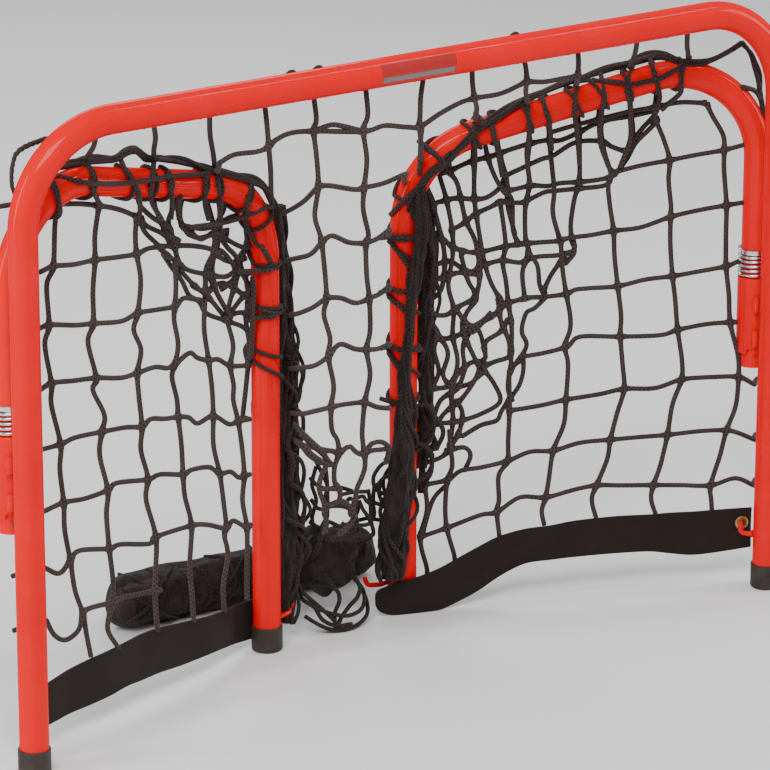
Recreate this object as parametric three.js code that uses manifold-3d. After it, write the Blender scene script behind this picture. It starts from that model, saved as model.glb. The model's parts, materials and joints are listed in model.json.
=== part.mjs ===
// Folding floorball goal: a bent tube frame with two net wings on sprung, notched sleeves
import * as THREE from 'three';
import { mergeGeometries, mergeVertices } from 'three/addons/utils/BufferGeometryUtils.js';
import Module from 'manifold-3d';

const wasm = await Module();
wasm.setup();

// Main sizes, in millimetres
const GOAL_WIDTH = 900;
const GOAL_HEIGHT = 630;
const FRAME_TUBE_DIAMETER = 28;
const FRAME_BEND_RADIUS = 95;
const WING_TUBE_DIAMETER = 28;
const WING_CENTRE_GAP = 68;
const WING_FRONT_DROP = 48;
const WING_REAR_DROP = 138;
const WING_FRONT_BEND_RADIUS = 92;
const WING_REAR_BEND_RADIUS = 95;
const TUBE_WALL = 1.5;
const FIT_GAP = 0.3;
const CUT_OVERRUN = 4;

// Wing angles from the frame's plane, in degrees
const LEFT_WING_ANGLE = 17.4;
const RIGHT_WING_ANGLE = 20;
const FOLDED_ANGLE = 0;
const OPEN_ANGLE = 90;

// Feet
const FOOT_WALL = 1.3;
const FOOT_HEIGHT = 26;
const FOOT_BASE = 3;
const FOOT_EDGE_ROUND = 1.2;

// Hinge sleeves, springs and lock pins
const SLEEVE_WALL = 2.5;
const SLEEVE_CLEARANCE = 0.5;
const SLEEVE_DROP = 369;
const SLEEVE_LENGTH = 80;
const SLEEVE_SETBACK_GAP = 0.5;
const LEG_STUB = 15;
const SPRING_WIRE = 3;
const SPRING_CLEARANCE = 0.25;
const SPRING_HEIGHT = 24.4;
const SPRING_TURNS = 4;
const SEAT_HEIGHT = 5;
const SEAT_WALL = 3.2;
const SEAT_EDGE_ROUND = 0.8;
const LOCK_PIN_DIAMETER = 5;
const LOCK_PIN_SHORTFALL = 0.2;
const LOCK_PIN_HOLE_GAP = 0.3;
const LOCK_PIN_TURN = 50;
const NOTCH_SIDE_GAP = 0.6;
const NOTCH_DEPTH = 5.5;
const WELD_RADIUS = 4;
const WELD_LENGTH = 15;
const WELD_SINK = 0.8;
const WELD_EDGE = 18;
const WELD_SPACING = 36;

// Net, ropes and lacing
const NET_MESH = 60;
const NET_CORD_WIDTH = 5;
const NET_THICKNESS = 4.4;
const NET_KNOT_FILLET = 5;
const NET_WAVE = 4;
const NET_ROWS = 8;
const NET_BAND_GAP = 0.9;
const SLACK_NET_MESH = 42;
const SLACK_NET_WAVE = 9;
const LEFT_SLACK_NET = { width: 163, bottom: 262, thickness: 4.4 };
const RIGHT_SLACK_NET = { width: 173, bottom: 110, thickness: 4.4 };
const LACING_DIAMETER = 4;
const LACING_PITCH = 62;
const LACING_END = 75;
const ROPE_DIAMETER = 10;
const ROPE_FRONT_OVERHANG = 9;
const ROPE_END = 105;
const CROSSBAR_ROPE_DIAMETER = 6;
const CROSSBAR_ROPE_DROP = 19;
const CROSSBAR_ROPE_END_DROP = 76;
const CURTAIN_SETBACK = 9;
const CURTAIN_LEFT_REACH = 236;
const CURTAIN_COLUMNS = 7;
const CURTAIN_DROP = 53;
const HANGING_NET_AFTER_COLUMNS = 2;
const HANGING_NET_LENGTH = 400;
const HANGING_NET_ROWS = 7;
const HANGING_NET_FOOT_WIDTH = 36;

// Hooks of round wire
const NET_HOOK_WIRE = 3;
const LEG_HOOK_WIRE = 5;
const LEG_HOOK_HEIGHT = 34;
const LEG_HOOK_REACH = 17;
const LEG_HOOK_RISE = 10;
const LEG_HOOK_BEND_RADIUS = 6;
const POST_HOOK_WIRE = 5;
const POST_HOOK_HEIGHT = 56;
const POST_HOOK_REACH = 13;
const POST_HOOK_RISE = 12;
const POST_HOOK_BEND_RADIUS = 5;
const POST_HOOK_TURN = 45;

// Skirt bands and their eyelets
const BAND_HEIGHT = 42;
const BAND_THICKNESS = 2.5;
const BAND_LIFT = 25;
const BAND_REAR_LIFT = 4;
const BAND_DROP_LENGTH = 118;
const BAND_FRONT = 8;
const BAND_SWERVE_LENGTH = 68;
const LEFT_BAND_OVERHANG = 4;
const RIGHT_BAND_OVERHANG = 30;
const BAND_WAVE = 5;
const BAND_WAVE_LENGTH = 130;
const BAND_FLAT_END = 30;
const EYELET_RADIUS = 7;
const EYELET_BORE = 3.6;
const EYELET_BARREL = 4.8;
const EYELET_FLANGE = 1;
const EYELET_SIDES = 12;
const EYELET_PLACE = 18;

// Gathered net
const BACK_ROLL_RADIUS = 30;
const BACK_ROLL_SETBACK = 268;
const BACK_ROLL_LEFT = 190;
const BACK_ROLL_RIGHT = 126;
const HEAP_HEIGHT = 212;
const HEAP_RADIUS = 41;
const HEAP_TOP_RADIUS = 15;
const HEAP_PLACE = 12;
const HEAP_TOP_INSET = 11.4;
const HEAP_SETBACK = 172;
const HEAP_TAIL_LENGTH = 40;
const BUNCH_RADIUS = 15;
const BUNCH_TOP_DROP = 12;
const BUNCH_BOTTOM = 102;
const RIGHT_BUNCH_INSET = 38;
const RIGHT_BUNCH_RADIUS = 12;
const RIGHT_BUNCH_BOTTOM = 150;
const RIGHT_BUNCH_TOP_DROP = 48;

// How finely round things are cut
const TUBE_SIDES = 18;
const TUBE_BORE_SIDES = 9;
const BEND_STEPS = 9;
const LATHE_SIDES = 20;
const WIRE_SIDES = 6;
const CORD_SIDES = 5;
const ROPE_SIDES = 8;
const CURL_STEPS = 8;
const LACING_STEPS = 8;
const HOOK_BEND_STEPS = 3;
const ROLL_SIDES = 12;
const ROLL_STEPS = 12;
const BAND_STEPS = 16;
const STRAIGHT_LIMIT = THREE.MathUtils.degToRad(0.05);

// Sizes that follow from the others
const FRAME_RADIUS = FRAME_TUBE_DIAMETER / 2;
const WING_RADIUS = WING_TUBE_DIAMETER / 2;
const POST_PLACE = GOAL_WIDTH / 2 - FRAME_RADIUS;
const CROSSBAR_HEIGHT = GOAL_HEIGHT - FRAME_RADIUS;
const WING_LENGTH = POST_PLACE - WING_CENTRE_GAP;
const WING_FRONT_HEIGHT = CROSSBAR_HEIGHT - WING_FRONT_DROP;
const WING_REAR_HEIGHT = CROSSBAR_HEIGHT - WING_REAR_DROP;
const TUBE_BOTTOM = FOOT_BASE + FIT_GAP;
const SLEEVE_BORE_RADIUS = WING_RADIUS + SLEEVE_CLEARANCE;
const SLEEVE_RADIUS = SLEEVE_BORE_RADIUS + SLEEVE_WALL;
const SLEEVE_BOTTOM = CROSSBAR_HEIGHT - SLEEVE_DROP;
const SLEEVE_TOP = SLEEVE_BOTTOM + SLEEVE_LENGTH;
const HINGE_SETBACK = FRAME_RADIUS + SLEEVE_SETBACK_GAP + SLEEVE_RADIUS;
const LOCK_PIN_RADIUS = LOCK_PIN_DIAMETER / 2;
const LOCK_PIN_LENGTH = SLEEVE_RADIUS * 2 - LOCK_PIN_SHORTFALL * 2;
const LOCK_PIN_LEVEL = SLEEVE_BOTTOM - FIT_GAP - LOCK_PIN_RADIUS;
const LEG_END = SLEEVE_BOTTOM - LEG_STUB;
const SPRING_BOTTOM = SLEEVE_TOP + FIT_GAP;
const SPRING_SLACK = 1 / Math.cos(Math.PI / CURL_STEPS);
const SPRING_RADIUS = (WING_RADIUS + SPRING_CLEARANCE + SPRING_WIRE / 2) * SPRING_SLACK;
const SEAT_BOTTOM = SPRING_BOTTOM + SPRING_HEIGHT + FIT_GAP;
const LACING_SLACK = 1 / Math.cos(Math.PI / LACING_STEPS);
const LACING_RADIUS = (WING_RADIUS + FIT_GAP + LACING_DIAMETER / 2) * LACING_SLACK;
const LACING_OUTER_RADIUS = LACING_RADIUS + LACING_DIAMETER / 2;
const NET_EDGE = LACING_OUTER_RADIUS + FIT_GAP;
const ROPE_OFFSET = LACING_OUTER_RADIUS + FIT_GAP + ROPE_DIAMETER / 2;
const CURTAIN_BOTTOM = CROSSBAR_HEIGHT - CURTAIN_DROP;
const CURTAIN_TOP_DROP = CROSSBAR_ROPE_DROP + CROSSBAR_ROPE_DIAMETER / 2 + FIT_GAP;
const CURTAIN_MIDDLE = (HANGING_NET_AFTER_COLUMNS + 1 / 2) * NET_MESH - CURTAIN_LEFT_REACH;
const FOOT_RADIUS = WING_RADIUS + FIT_GAP + FOOT_WALL;
const LEG_HOOK_TIP = WING_LENGTH + WING_RADIUS + FIT_GAP + LEG_HOOK_REACH + LEG_HOOK_WIRE / 2;
const BUNCH_PLACE = WING_LENGTH + ROPE_OFFSET + ROPE_DIAMETER / 2 + FIT_GAP + BUNCH_RADIUS;
const BUNCH_TIP = BUNCH_PLACE + BUNCH_RADIUS;
const LEFT_WING_TURN = THREE.MathUtils.degToRad(LEFT_WING_ANGLE);
const HEAP_TOP_PLACE = BUNCH_TIP * Math.cos(LEFT_WING_TURN) - POST_PLACE + HEAP_TOP_INSET;
const HEAP_TOP_SETBACK = BUNCH_TIP * Math.sin(LEFT_WING_TURN) + HINGE_SETBACK;

// Materials
function finish(color, roughness, metalness) {
  return new THREE.MeshStandardMaterial({ color, roughness, metalness });
}
const PAINT = [0xd3171a, 0.28, 0.1];
const STEEL = [0xc9ccd0, 0.3, 0.9];
const DARK_STEEL = [0x35332f, 0.45, 0.7];
const BRASS = [0xb08a3c, 0.35, 0.9];
const CAP_RUBBER = [0x35322f, 0.75, 0];
const NET_CORD = [0x3b3533, 0.85, 0];
const FABRIC = [0x261e1c, 0.9, 0];

// Turns a skin inside out where its signed volume says that it faces inward
function facingOut(source) {
  const geometry = source.index ? source.toNonIndexed() : source;
  geometry.deleteAttribute('uv');
  const position = geometry.attributes.position;
  const corners = [new THREE.Vector3(), new THREE.Vector3(), new THREE.Vector3()];
  let volume = 0;
  for (let i = 0; i < position.count; i += 3) {
    corners.forEach((corner, k) => corner.fromBufferAttribute(position, i + k));
    volume += corners[0].dot(corners[1].clone().cross(corners[2]));
  }
  if (volume < 0) {
    for (let i = 0; i < position.count; i += 3) {
      corners.forEach((corner, k) => corner.fromBufferAttribute(position, i + k));
      position.setXYZ(i + 1, corners[2].x, corners[2].y, corners[2].z);
      position.setXYZ(i + 2, corners[1].x, corners[1].y, corners[1].z);
    }
  }
  geometry.deleteAttribute('normal');
  geometry.computeVertexNormals();
  return geometry;
}

function mirrored(geometry) {
  return facingOut(geometry.clone().applyMatrix4(new THREE.Matrix4().makeScale(-1, 1, 1)));
}

// Solids for cutting and joining
function solidFrom(geometry) {
  const bare = geometry.clone();
  bare.deleteAttribute('normal');
  bare.deleteAttribute('uv');
  const merged = mergeVertices(bare, FIT_GAP / 1000);
  return new wasm.Manifold(new wasm.Mesh({
    numProp: 3,
    vertProperties: new Float32Array(merged.attributes.position.array),
    triVerts: new Uint32Array(merged.index.array),
  }));
}

function geometryFrom(solid) {
  const mesh = solid.getMesh();
  const geometry = new THREE.BufferGeometry();
  geometry.setAttribute('position', new THREE.BufferAttribute(new Float32Array(mesh.vertProperties), 3));
  geometry.setIndex(new THREE.BufferAttribute(new Uint32Array(mesh.triVerts), 1));
  return facingOut(geometry);
}

function cut(geometry, ...tools) {
  return geometryFrom(tools.reduce((left, tool) => left.subtract(solidFrom(tool)), solidFrom(geometry)));
}

function joined(geometry, pieces) {
  return geometryFrom(pieces.reduce((whole, piece) => whole.add(solidFrom(piece)), solidFrom(geometry)));
}

// A curve that passes through given stations with given directions
class StationCurve extends THREE.Curve {
  constructor(points, tangents) {
    super();
    this.points = points;
    this.tangents = tangents;
  }
  at(list, u) {
    return list[Math.round(u * (list.length - 1))].clone();
  }
  getPoint(u) {
    return this.at(this.points, u);
  }
  getPointAt(u) {
    return this.at(this.points, u);
  }
  getTangent(u) {
    return this.at(this.tangents, u);
  }
  getTangentAt(u) {
    return this.at(this.tangents, u);
  }
}

// Stations along straight runs joined by arcs of the given radii
function bentRun(corners, radii, steps) {
  const points = [corners[0].clone()];
  const tangents = [corners[1].clone().sub(corners[0]).normalize()];
  for (let i = 1; i < corners.length - 1; i++) {
    const before = corners[i - 1].clone().sub(corners[i]).normalize();
    const after = corners[i + 1].clone().sub(corners[i]).normalize();
    const half = before.angleTo(after) / 2;
    const inward = before.clone().add(after).normalize();
    const centre = corners[i].clone().addScaledVector(inward, radii[i - 1] / Math.sin(half));
    const spoke = corners[i].clone().addScaledVector(before, radii[i - 1] / Math.tan(half)).sub(centre);
    const axis = after.clone().cross(before).normalize();
    for (let k = 0; k <= steps; k++) {
      const turn = (Math.PI - 2 * half) * k / steps;
      points.push(spoke.clone().applyAxisAngle(axis, turn).add(centre));
      tangents.push(before.clone().negate().applyAxisAngle(axis, turn));
    }
  }
  points.push(corners[corners.length - 1].clone());
  tangents.push(points[points.length - 1].clone().sub(points[points.length - 2]).normalize());
  return { points, tangents };
}

function ringShape(radius, sides) {
  return Array.from({ length: sides }, (_, i) => {
    const angle = 2 * Math.PI * i / sides;
    return new THREE.Vector2(radius * Math.cos(angle), radius * Math.sin(angle));
  });
}

function sweep(run, radius, sides, boreRadius = 0, boreSides = sides) {
  const shape = new THREE.Shape(ringShape(radius, sides));
  if (boreRadius > 0) {
    shape.holes.push(new THREE.Path(ringShape(boreRadius, boreSides)));
  }
  const extrudePath = new StationCurve(run.points, run.tangents);
  const steps = run.points.length - 1;
  return facingOut(new THREE.ExtrudeGeometry(shape, { steps, extrudePath, bevelEnabled: false, curveSegments: 1 }));
}

// Directions along a list of points, each midway between its two neighbouring runs
function withTangents(points) {
  const runs = points.slice(1).map((point, i) => point.clone().sub(points[i]).normalize());
  const tangents = points.map((_, i) => {
    const before = runs[Math.max(i - 1, 0)];
    const after = runs[Math.min(i, runs.length - 1)];
    return before.clone().add(after).normalize();
  });
  return { points, tangents };
}

// The least gap of a wound tube to itself, measured between turns
function printLeastGap(name, points, diameter, stepsPerTurn) {
  let least = Infinity;
  for (let i = 0; i < points.length; i++) {
    for (let j = i + Math.floor(stepsPerTurn / 2) + 1; j < points.length; j++) {
      least = Math.min(least, points[i].distanceTo(points[j]) - diameter);
    }
  }
  console.log(`${name} least gap to itself ${least.toFixed(2)} mm`);
}

// Turned pieces, with their profile given as radius and height
function turned(profile, sides = LATHE_SIDES) {
  const points = profile.map(([radius, height]) => new THREE.Vector2(radius, height));
  return facingOut(new THREE.LatheGeometry(points, sides).rotateX(Math.PI / 2));
}

function turnedRing(outer, bore, bottom, top, round) {
  const profile = [[bore, bottom], [outer - round, bottom], [outer, bottom + round]];
  profile.push([outer, top - round], [outer - round, top], [bore, top], [bore, bottom]);
  return turned(profile);
}

function rod(radius, length, sides) {
  return facingOut(new THREE.CylinderGeometry(radius, radius, length, sides));
}

// A closed skin through rings of points, with flat ends
function loft(rings) {
  const count = rings[0].length;
  const positions = [];
  const addTriangle = (...corners) => corners.forEach((corner) => positions.push(corner.x, corner.y, corner.z));
  for (let i = 0; i + 1 < rings.length; i++) {
    for (let j = 0; j < count; j++) {
      const next = (j + 1) % count;
      addTriangle(rings[i][j], rings[i][next], rings[i + 1][next]);
      addTriangle(rings[i][j], rings[i + 1][next], rings[i + 1][j]);
    }
  }
  const first = rings[0];
  const last = rings[rings.length - 1];
  for (let j = 1; j + 1 < count; j++) {
    addTriangle(first[0], first[j + 1], first[j]);
    addTriangle(last[0], last[j], last[j + 1]);
  }
  const geometry = new THREE.BufferGeometry();
  geometry.setAttribute('position', new THREE.Float32BufferAttribute(positions, 3));
  return facingOut(geometry);
}

// Frame tube: two posts and a crossbar in one bent length
function frameCorners(bottom) {
  return [
    new THREE.Vector3(-POST_PLACE, 0, bottom),
    new THREE.Vector3(-POST_PLACE, 0, CROSSBAR_HEIGHT),
    new THREE.Vector3(POST_PLACE, 0, CROSSBAR_HEIGHT),
    new THREE.Vector3(POST_PLACE, 0, bottom),
  ];
}

function netHooks(wire) {
  return netHookPlaces().map((place) => netHook(wire).translate(place, 0, 0));
}

function frameTube() {
  const run = bentRun(frameCorners(TUBE_BOTTOM), [FRAME_BEND_RADIUS, FRAME_BEND_RADIUS], BEND_STEPS);
  const tube = sweep(run, FRAME_RADIUS, TUBE_SIDES, FRAME_RADIUS - TUBE_WALL, TUBE_BORE_SIDES);
  return joined(tube, netHooks(NET_HOOK_WIRE));
}

// Feet: caps pushed over the tube ends
function footCap(tubeRadius) {
  const bore = tubeRadius + FIT_GAP;
  const outer = bore + FOOT_WALL;
  return turned([
    [0, 0], [outer - FOOT_EDGE_ROUND, 0], [outer, FOOT_EDGE_ROUND], [outer, FOOT_HEIGHT],
    [bore, FOOT_HEIGHT], [bore, FOOT_BASE], [0, FOOT_BASE],
  ]);
}

// The wing's centre line in its own frame: X runs out from the hinge, Z is up
function wingCorners(frontBottom, rearBottom) {
  return [
    new THREE.Vector3(0, 0, frontBottom),
    new THREE.Vector3(0, 0, WING_FRONT_HEIGHT),
    new THREE.Vector3(WING_LENGTH, 0, WING_REAR_HEIGHT),
    new THREE.Vector3(WING_LENGTH, 0, rearBottom),
  ];
}

const WING_BENDS = [WING_FRONT_BEND_RADIUS, WING_REAR_BEND_RADIUS];

function pinPlaced(geometry) {
  return geometry.rotateZ(THREE.MathUtils.degToRad(LOCK_PIN_TURN) - Math.PI / 2)
    .translate(0, 0, LOCK_PIN_LEVEL);
}

function wingTube() {
  const run = bentRun(wingCorners(LEG_END, TUBE_BOTTOM), WING_BENDS, BEND_STEPS);
  const tube = sweep(run, WING_RADIUS, TUBE_SIDES, WING_RADIUS - TUBE_WALL, TUBE_BORE_SIDES);
  const hole = pinPlaced(rod(LOCK_PIN_RADIUS + LOCK_PIN_HOLE_GAP, LOCK_PIN_LENGTH, LATHE_SIDES / 2));
  return cut(tube, hole);
}

function lockPin() {
  return pinPlaced(rod(LOCK_PIN_RADIUS, LOCK_PIN_LENGTH, LATHE_SIDES / 2));
}

// Hinge sleeve: notches in the bottom rim hold the pin with the wing folded or open
function notchTool(wingAngle) {
  const width = LOCK_PIN_DIAMETER + NOTCH_SIDE_GAP * 2;
  const height = NOTCH_DEPTH + CUT_OVERRUN;
  const box = new THREE.BoxGeometry(SLEEVE_RADIUS * 2 + CUT_OVERRUN, width, height);
  return box.rotateZ(THREE.MathUtils.degToRad(wingAngle + LOCK_PIN_TURN))
    .translate(0, 0, SLEEVE_BOTTOM + NOTCH_DEPTH - height / 2);
}

function hingeSleeve() {
  const round = SLEEVE_WALL / 4;
  const sleeve = turnedRing(SLEEVE_RADIUS, SLEEVE_BORE_RADIUS, SLEEVE_BOTTOM, SLEEVE_TOP, round);
  const notched = cut(sleeve, notchTool(FOLDED_ANGLE), notchTool(OPEN_ANGLE));
  return joined(notched, weldBeads());
}

// Weld beads in the valleys between the post and the sleeve
function weldBeads() {
  const toPost = FRAME_RADIUS + FIT_GAP + WELD_RADIUS;
  const toSleeve = SLEEVE_RADIUS - WELD_SINK + WELD_RADIUS;
  const back = (toPost ** 2 - toSleeve ** 2 + HINGE_SETBACK ** 2) / (2 * HINGE_SETBACK);
  const side = Math.sqrt(toPost ** 2 - back ** 2);
  const straight = WELD_LENGTH - WELD_RADIUS * 2;
  const beads = [];
  for (const height of [SLEEVE_BOTTOM + WELD_EDGE, SLEEVE_BOTTOM + WELD_EDGE + WELD_SPACING]) {
    for (const hand of [-1, 1]) {
      const bead = new THREE.CapsuleGeometry(WELD_RADIUS, straight, 2, WIRE_SIDES);
      beads.push(facingOut(bead.rotateX(Math.PI / 2).translate(hand * side, back - HINGE_SETBACK, height)));
    }
  }
  return beads;
}

// Spring: an open coil
function spring() {
  const climb = SPRING_HEIGHT - SPRING_WIRE;
  const steps = SPRING_TURNS * CURL_STEPS;
  const bottom = SPRING_BOTTOM + SPRING_WIRE / 2;
  const points = [];
  for (let i = 0; i <= steps; i++) {
    const angle = 2 * Math.PI * (i + 1 / 2) / CURL_STEPS;
    const height = bottom + climb * i / steps;
    points.push(new THREE.Vector3(SPRING_RADIUS * Math.cos(angle), SPRING_RADIUS * Math.sin(angle), height));
  }
  points.unshift(points[0].clone().add(new THREE.Vector3(0, -SPRING_WIRE, 0)));
  printLeastGap('spring', points, SPRING_WIRE, CURL_STEPS);
  return sweep(withTangents(points), SPRING_WIRE / 2, CORD_SIDES);
}

function springSeat() {
  const bore = WING_RADIUS + FIT_GAP;
  return turnedRing(bore + SEAT_WALL, bore, SEAT_BOTTOM, SEAT_BOTTOM + SEAT_HEIGHT, SEAT_EDGE_ROUND);
}

// Wire hooks
function bentWire(corners, bendRadius, wire) {
  const radii = corners.slice(2).map(() => bendRadius);
  return sweep(bentRun(corners, radii, HOOK_BEND_STEPS), wire / 2, CORD_SIDES);
}

function legHook() {
  const start = WING_LENGTH + WING_RADIUS + FIT_GAP;
  const out = start + LEG_HOOK_REACH;
  return bentWire([
    new THREE.Vector3(start, 0, LEG_HOOK_HEIGHT),
    new THREE.Vector3(out, 0, LEG_HOOK_HEIGHT),
    new THREE.Vector3(out, 0, LEG_HOOK_HEIGHT + LEG_HOOK_RISE),
  ], LEG_HOOK_BEND_RADIUS, LEG_HOOK_WIRE);
}

function postHook() {
  const start = FRAME_RADIUS + FIT_GAP;
  const out = start + POST_HOOK_REACH;
  return bentWire([
    new THREE.Vector3(start, 0, POST_HOOK_HEIGHT),
    new THREE.Vector3(out, 0, POST_HOOK_HEIGHT),
    new THREE.Vector3(out, 0, POST_HOOK_HEIGHT + POST_HOOK_RISE),
  ], POST_HOOK_BEND_RADIUS, POST_HOOK_WIRE).rotateZ(THREE.MathUtils.degToRad(POST_HOOK_TURN));
}

// Hooks welded on the back of the crossbar, which carry the net's top rope
function netHook(wire = NET_HOOK_WIRE) {
  const rope = new THREE.Vector3(0, CURTAIN_SETBACK, CROSSBAR_HEIGHT - CROSSBAR_ROPE_DROP);
  const wrap = CROSSBAR_ROPE_DIAMETER / 2 + FIT_GAP + NET_HOOK_WIRE / 2;
  const outer = rope.y + wrap;
  const root = Math.sqrt(FRAME_RADIUS ** 2 - outer ** 2);
  const under = rope.z - wrap;
  const inner = rope.y - wrap;
  return bentWire([
    new THREE.Vector3(0, outer, CROSSBAR_HEIGHT - root),
    new THREE.Vector3(0, outer, under),
    new THREE.Vector3(0, inner, under),
    new THREE.Vector3(0, inner, rope.z),
  ], NET_HOOK_WIRE, wire);
}

function netHookPlaces() {
  const reach = POST_PLACE - FRAME_BEND_RADIUS;
  const count = Math.floor(reach / NET_MESH);
  return Array.from({ length: 2 * count + 1 }, (_, i) => (i - count) * NET_MESH);
}

// A line that keeps a set distance from a bent run in the XZ plane, to its inner side if positive
function offsetLine(corners, radii, distance) {
  const run = bentRun(corners, radii, BEND_STEPS);
  return run.points.map((point, i) => {
    const direction = run.tangents[i];
    return new THREE.Vector3(point.x + direction.z * distance, 0, point.z - direction.x * distance);
  });
}

// Skirt band: where its lower edge runs and how far it swerves round the rear foot
function bandBottom(along) {
  const share = THREE.MathUtils.smoothstep(along, WING_LENGTH - BAND_DROP_LENGTH, WING_LENGTH);
  return THREE.MathUtils.lerp(BAND_LIFT, BAND_REAR_LIFT, share);
}

function bandSwerve(along) {
  const full = FOOT_RADIUS + FIT_GAP + BAND_THICKNESS / 2;
  const start = WING_LENGTH - BAND_SWERVE_LENGTH;
  const swerve = full * THREE.MathUtils.smoothstep(along, start, WING_LENGTH - FOOT_RADIUS);
  const turn = Math.PI * Math.max(along - BAND_FLAT_END, 0) / BAND_WAVE_LENGTH;
  const calm = THREE.MathUtils.smoothstep(start - along, 0, BAND_WAVE_LENGTH);
  return swerve + BAND_WAVE * Math.sin(turn) ** 2 * calm;
}

function skirtBand(hand, overhang) {
  const end = WING_LENGTH + overhang;
  const rings = [];
  for (let i = 0; i <= BAND_STEPS; i++) {
    const along = THREE.MathUtils.lerp(BAND_FRONT, end, i / BAND_STEPS);
    const middle = hand * bandSwerve(along);
    const bottom = bandBottom(along);
    const near = middle - BAND_THICKNESS / 2;
    const far = middle + BAND_THICKNESS / 2;
    rings.push([
      new THREE.Vector3(along, near, bottom),
      new THREE.Vector3(along, far, bottom),
      new THREE.Vector3(along, far, bottom + BAND_HEIGHT),
      new THREE.Vector3(along, near, bottom + BAND_HEIGHT),
    ]);
  }
  const hole = rod(EYELET_BARREL + FIT_GAP, BAND_THICKNESS + CUT_OVERRUN, EYELET_SIDES);
  return cut(loft(rings), eyeletPlaced(hole));
}

function eyeletPlaced(geometry) {
  return geometry.translate(EYELET_PLACE, 0, bandBottom(EYELET_PLACE) + BAND_HEIGHT / 2);
}

// Eyelet: a barrel through the band with a flange on each face
function bandEyelet() {
  const inner = BAND_THICKNESS / 2 + FIT_GAP;
  const outer = inner + EYELET_FLANGE;
  const ring = turned([
    [EYELET_BORE, -outer], [EYELET_RADIUS, -outer], [EYELET_RADIUS, -inner], [EYELET_BARREL, -inner],
    [EYELET_BARREL, inner], [EYELET_RADIUS, inner], [EYELET_RADIUS, outer], [EYELET_BORE, outer],
    [EYELET_BORE, -outer],
  ], EYELET_SIDES);
  return eyeletPlaced(ring.rotateX(Math.PI / 2));
}

// Net sheets: a plate with one window per mesh
function shapeFrom(points) {
  const isCorner = (point, i) => {
    const before = points[(i + points.length - 1) % points.length].clone().sub(point).normalize();
    const after = points[(i + 1) % points.length].clone().sub(point).normalize();
    return Math.PI - before.angleTo(after) > STRAIGHT_LIMIT;
  };
  return new THREE.Shape(points.filter(isCorner).map((point) => new THREE.Vector2(point.x, point.z)));
}

function plate(points, thickness) {
  const geometry = new THREE.ExtrudeGeometry(shapeFrom(points), { depth: thickness, bevelEnabled: false });
  return facingOut(geometry.rotateX(Math.PI / 2).translate(0, thickness / 2, 0));
}

function isInside(outline, x, z) {
  let inside = false;
  for (let i = 0, j = outline.length - 1; i < outline.length; j = i++) {
    const crosses = (outline[i].z > z) !== (outline[j].z > z);
    const slope = (outline[j].x - outline[i].x) / (outline[j].z - outline[i].z);
    if (crosses && x < outline[i].x + slope * (z - outline[i].z)) {
      inside = !inside;
    }
  }
  return inside;
}

// One window: four knots drawn in by half a cord, with filleted corners
function windowOutline(knots) {
  const points = [];
  knots.forEach((knot, i) => {
    const before = knots[(i + 3) % 4].clone().sub(knot).normalize();
    const after = knots[(i + 1) % 4].clone().sub(knot).normalize();
    const half = NET_CORD_WIDTH / 2;
    points.push(knot.clone().addScaledVector(after, half).addScaledVector(before, half + NET_KNOT_FILLET));
    points.push(knot.clone().addScaledVector(before, half).addScaledVector(after, half + NET_KNOT_FILLET));
  });
  return points;
}

function netSheet(outlineAt, knotAt, columns, rows, thickness) {
  const rim = outlineAt(NET_CORD_WIDTH);
  const windows = [];
  for (let i = columns[0]; i < columns[1]; i++) {
    for (let j = rows[0]; j < rows[1]; j++) {
      const knots = [knotAt(i, j), knotAt(i + 1, j), knotAt(i + 1, j + 1), knotAt(i, j + 1)];
      const middle = knots.reduce((sum, knot) => sum.add(knot), new THREE.Vector3()).divideScalar(4);
      if ([middle, ...knots].some((point) => isInside(rim, point.x, point.z))) {
        windows.push(plate(windowOutline(knots), thickness + CUT_OVERRUN));
      }
    }
  }
  const room = solidFrom(plate(rim, thickness + CUT_OVERRUN));
  const holes = solidFrom(mergeGeometries(windows)).intersect(room);
  return geometryFrom(solidFrom(plate(outlineAt(0), thickness)).subtract(holes));
}

function waved(x, z, column, row, wave) {
  const shiftX = wave * Math.sin(1.7 * column + 2.3 * row);
  const shiftZ = wave * Math.cos(2.1 * column - 1.3 * row);
  return new THREE.Vector3(x + shiftX, 0, z + shiftZ);
}

// Side net: fills the wing down to the band, its rows fanning out to meet the sloping bar
function sideNetOutline(inset) {
  const line = offsetLine(wingCorners(0, 0), WING_BENDS, NET_EDGE + inset);
  const floor = (along) => bandBottom(along) + BAND_HEIGHT + NET_BAND_GAP + inset;
  const above = line.slice(1, -1);
  const front = NET_EDGE + inset;
  const rear = WING_LENGTH - NET_EDGE - inset;
  const bottom = [];
  for (let i = 0; i <= BAND_STEPS; i++) {
    const along = THREE.MathUtils.lerp(rear, front, i / BAND_STEPS);
    bottom.push(new THREE.Vector3(along, 0, floor(along)));
  }
  return [...above, ...bottom];
}

function barBelow(along) {
  const slope = (WING_REAR_HEIGHT - WING_FRONT_HEIGHT) / WING_LENGTH;
  return WING_FRONT_HEIGHT + slope * along - NET_EDGE;
}

function sideNet() {
  const edge = NET_CORD_WIDTH / 2;
  const near = NET_EDGE + edge;
  const far = WING_LENGTH - near;
  const columns = Math.round((far - near) / NET_MESH);
  const knotAt = (column, row) => {
    const along = THREE.MathUtils.lerp(near, far, column / columns);
    const bottom = bandBottom(along) + BAND_HEIGHT + edge;
    const height = THREE.MathUtils.lerp(bottom, barBelow(along) - edge, row / NET_ROWS);
    const isEdge = column === 0 || column === columns || row === 0 || row === NET_ROWS;
    return waved(along, height, column, row, isEdge ? 0 : NET_WAVE);
  };
  return netSheet(sideNetOutline, knotAt, [0, columns], [0, NET_ROWS], NET_THICKNESS);
}

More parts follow.
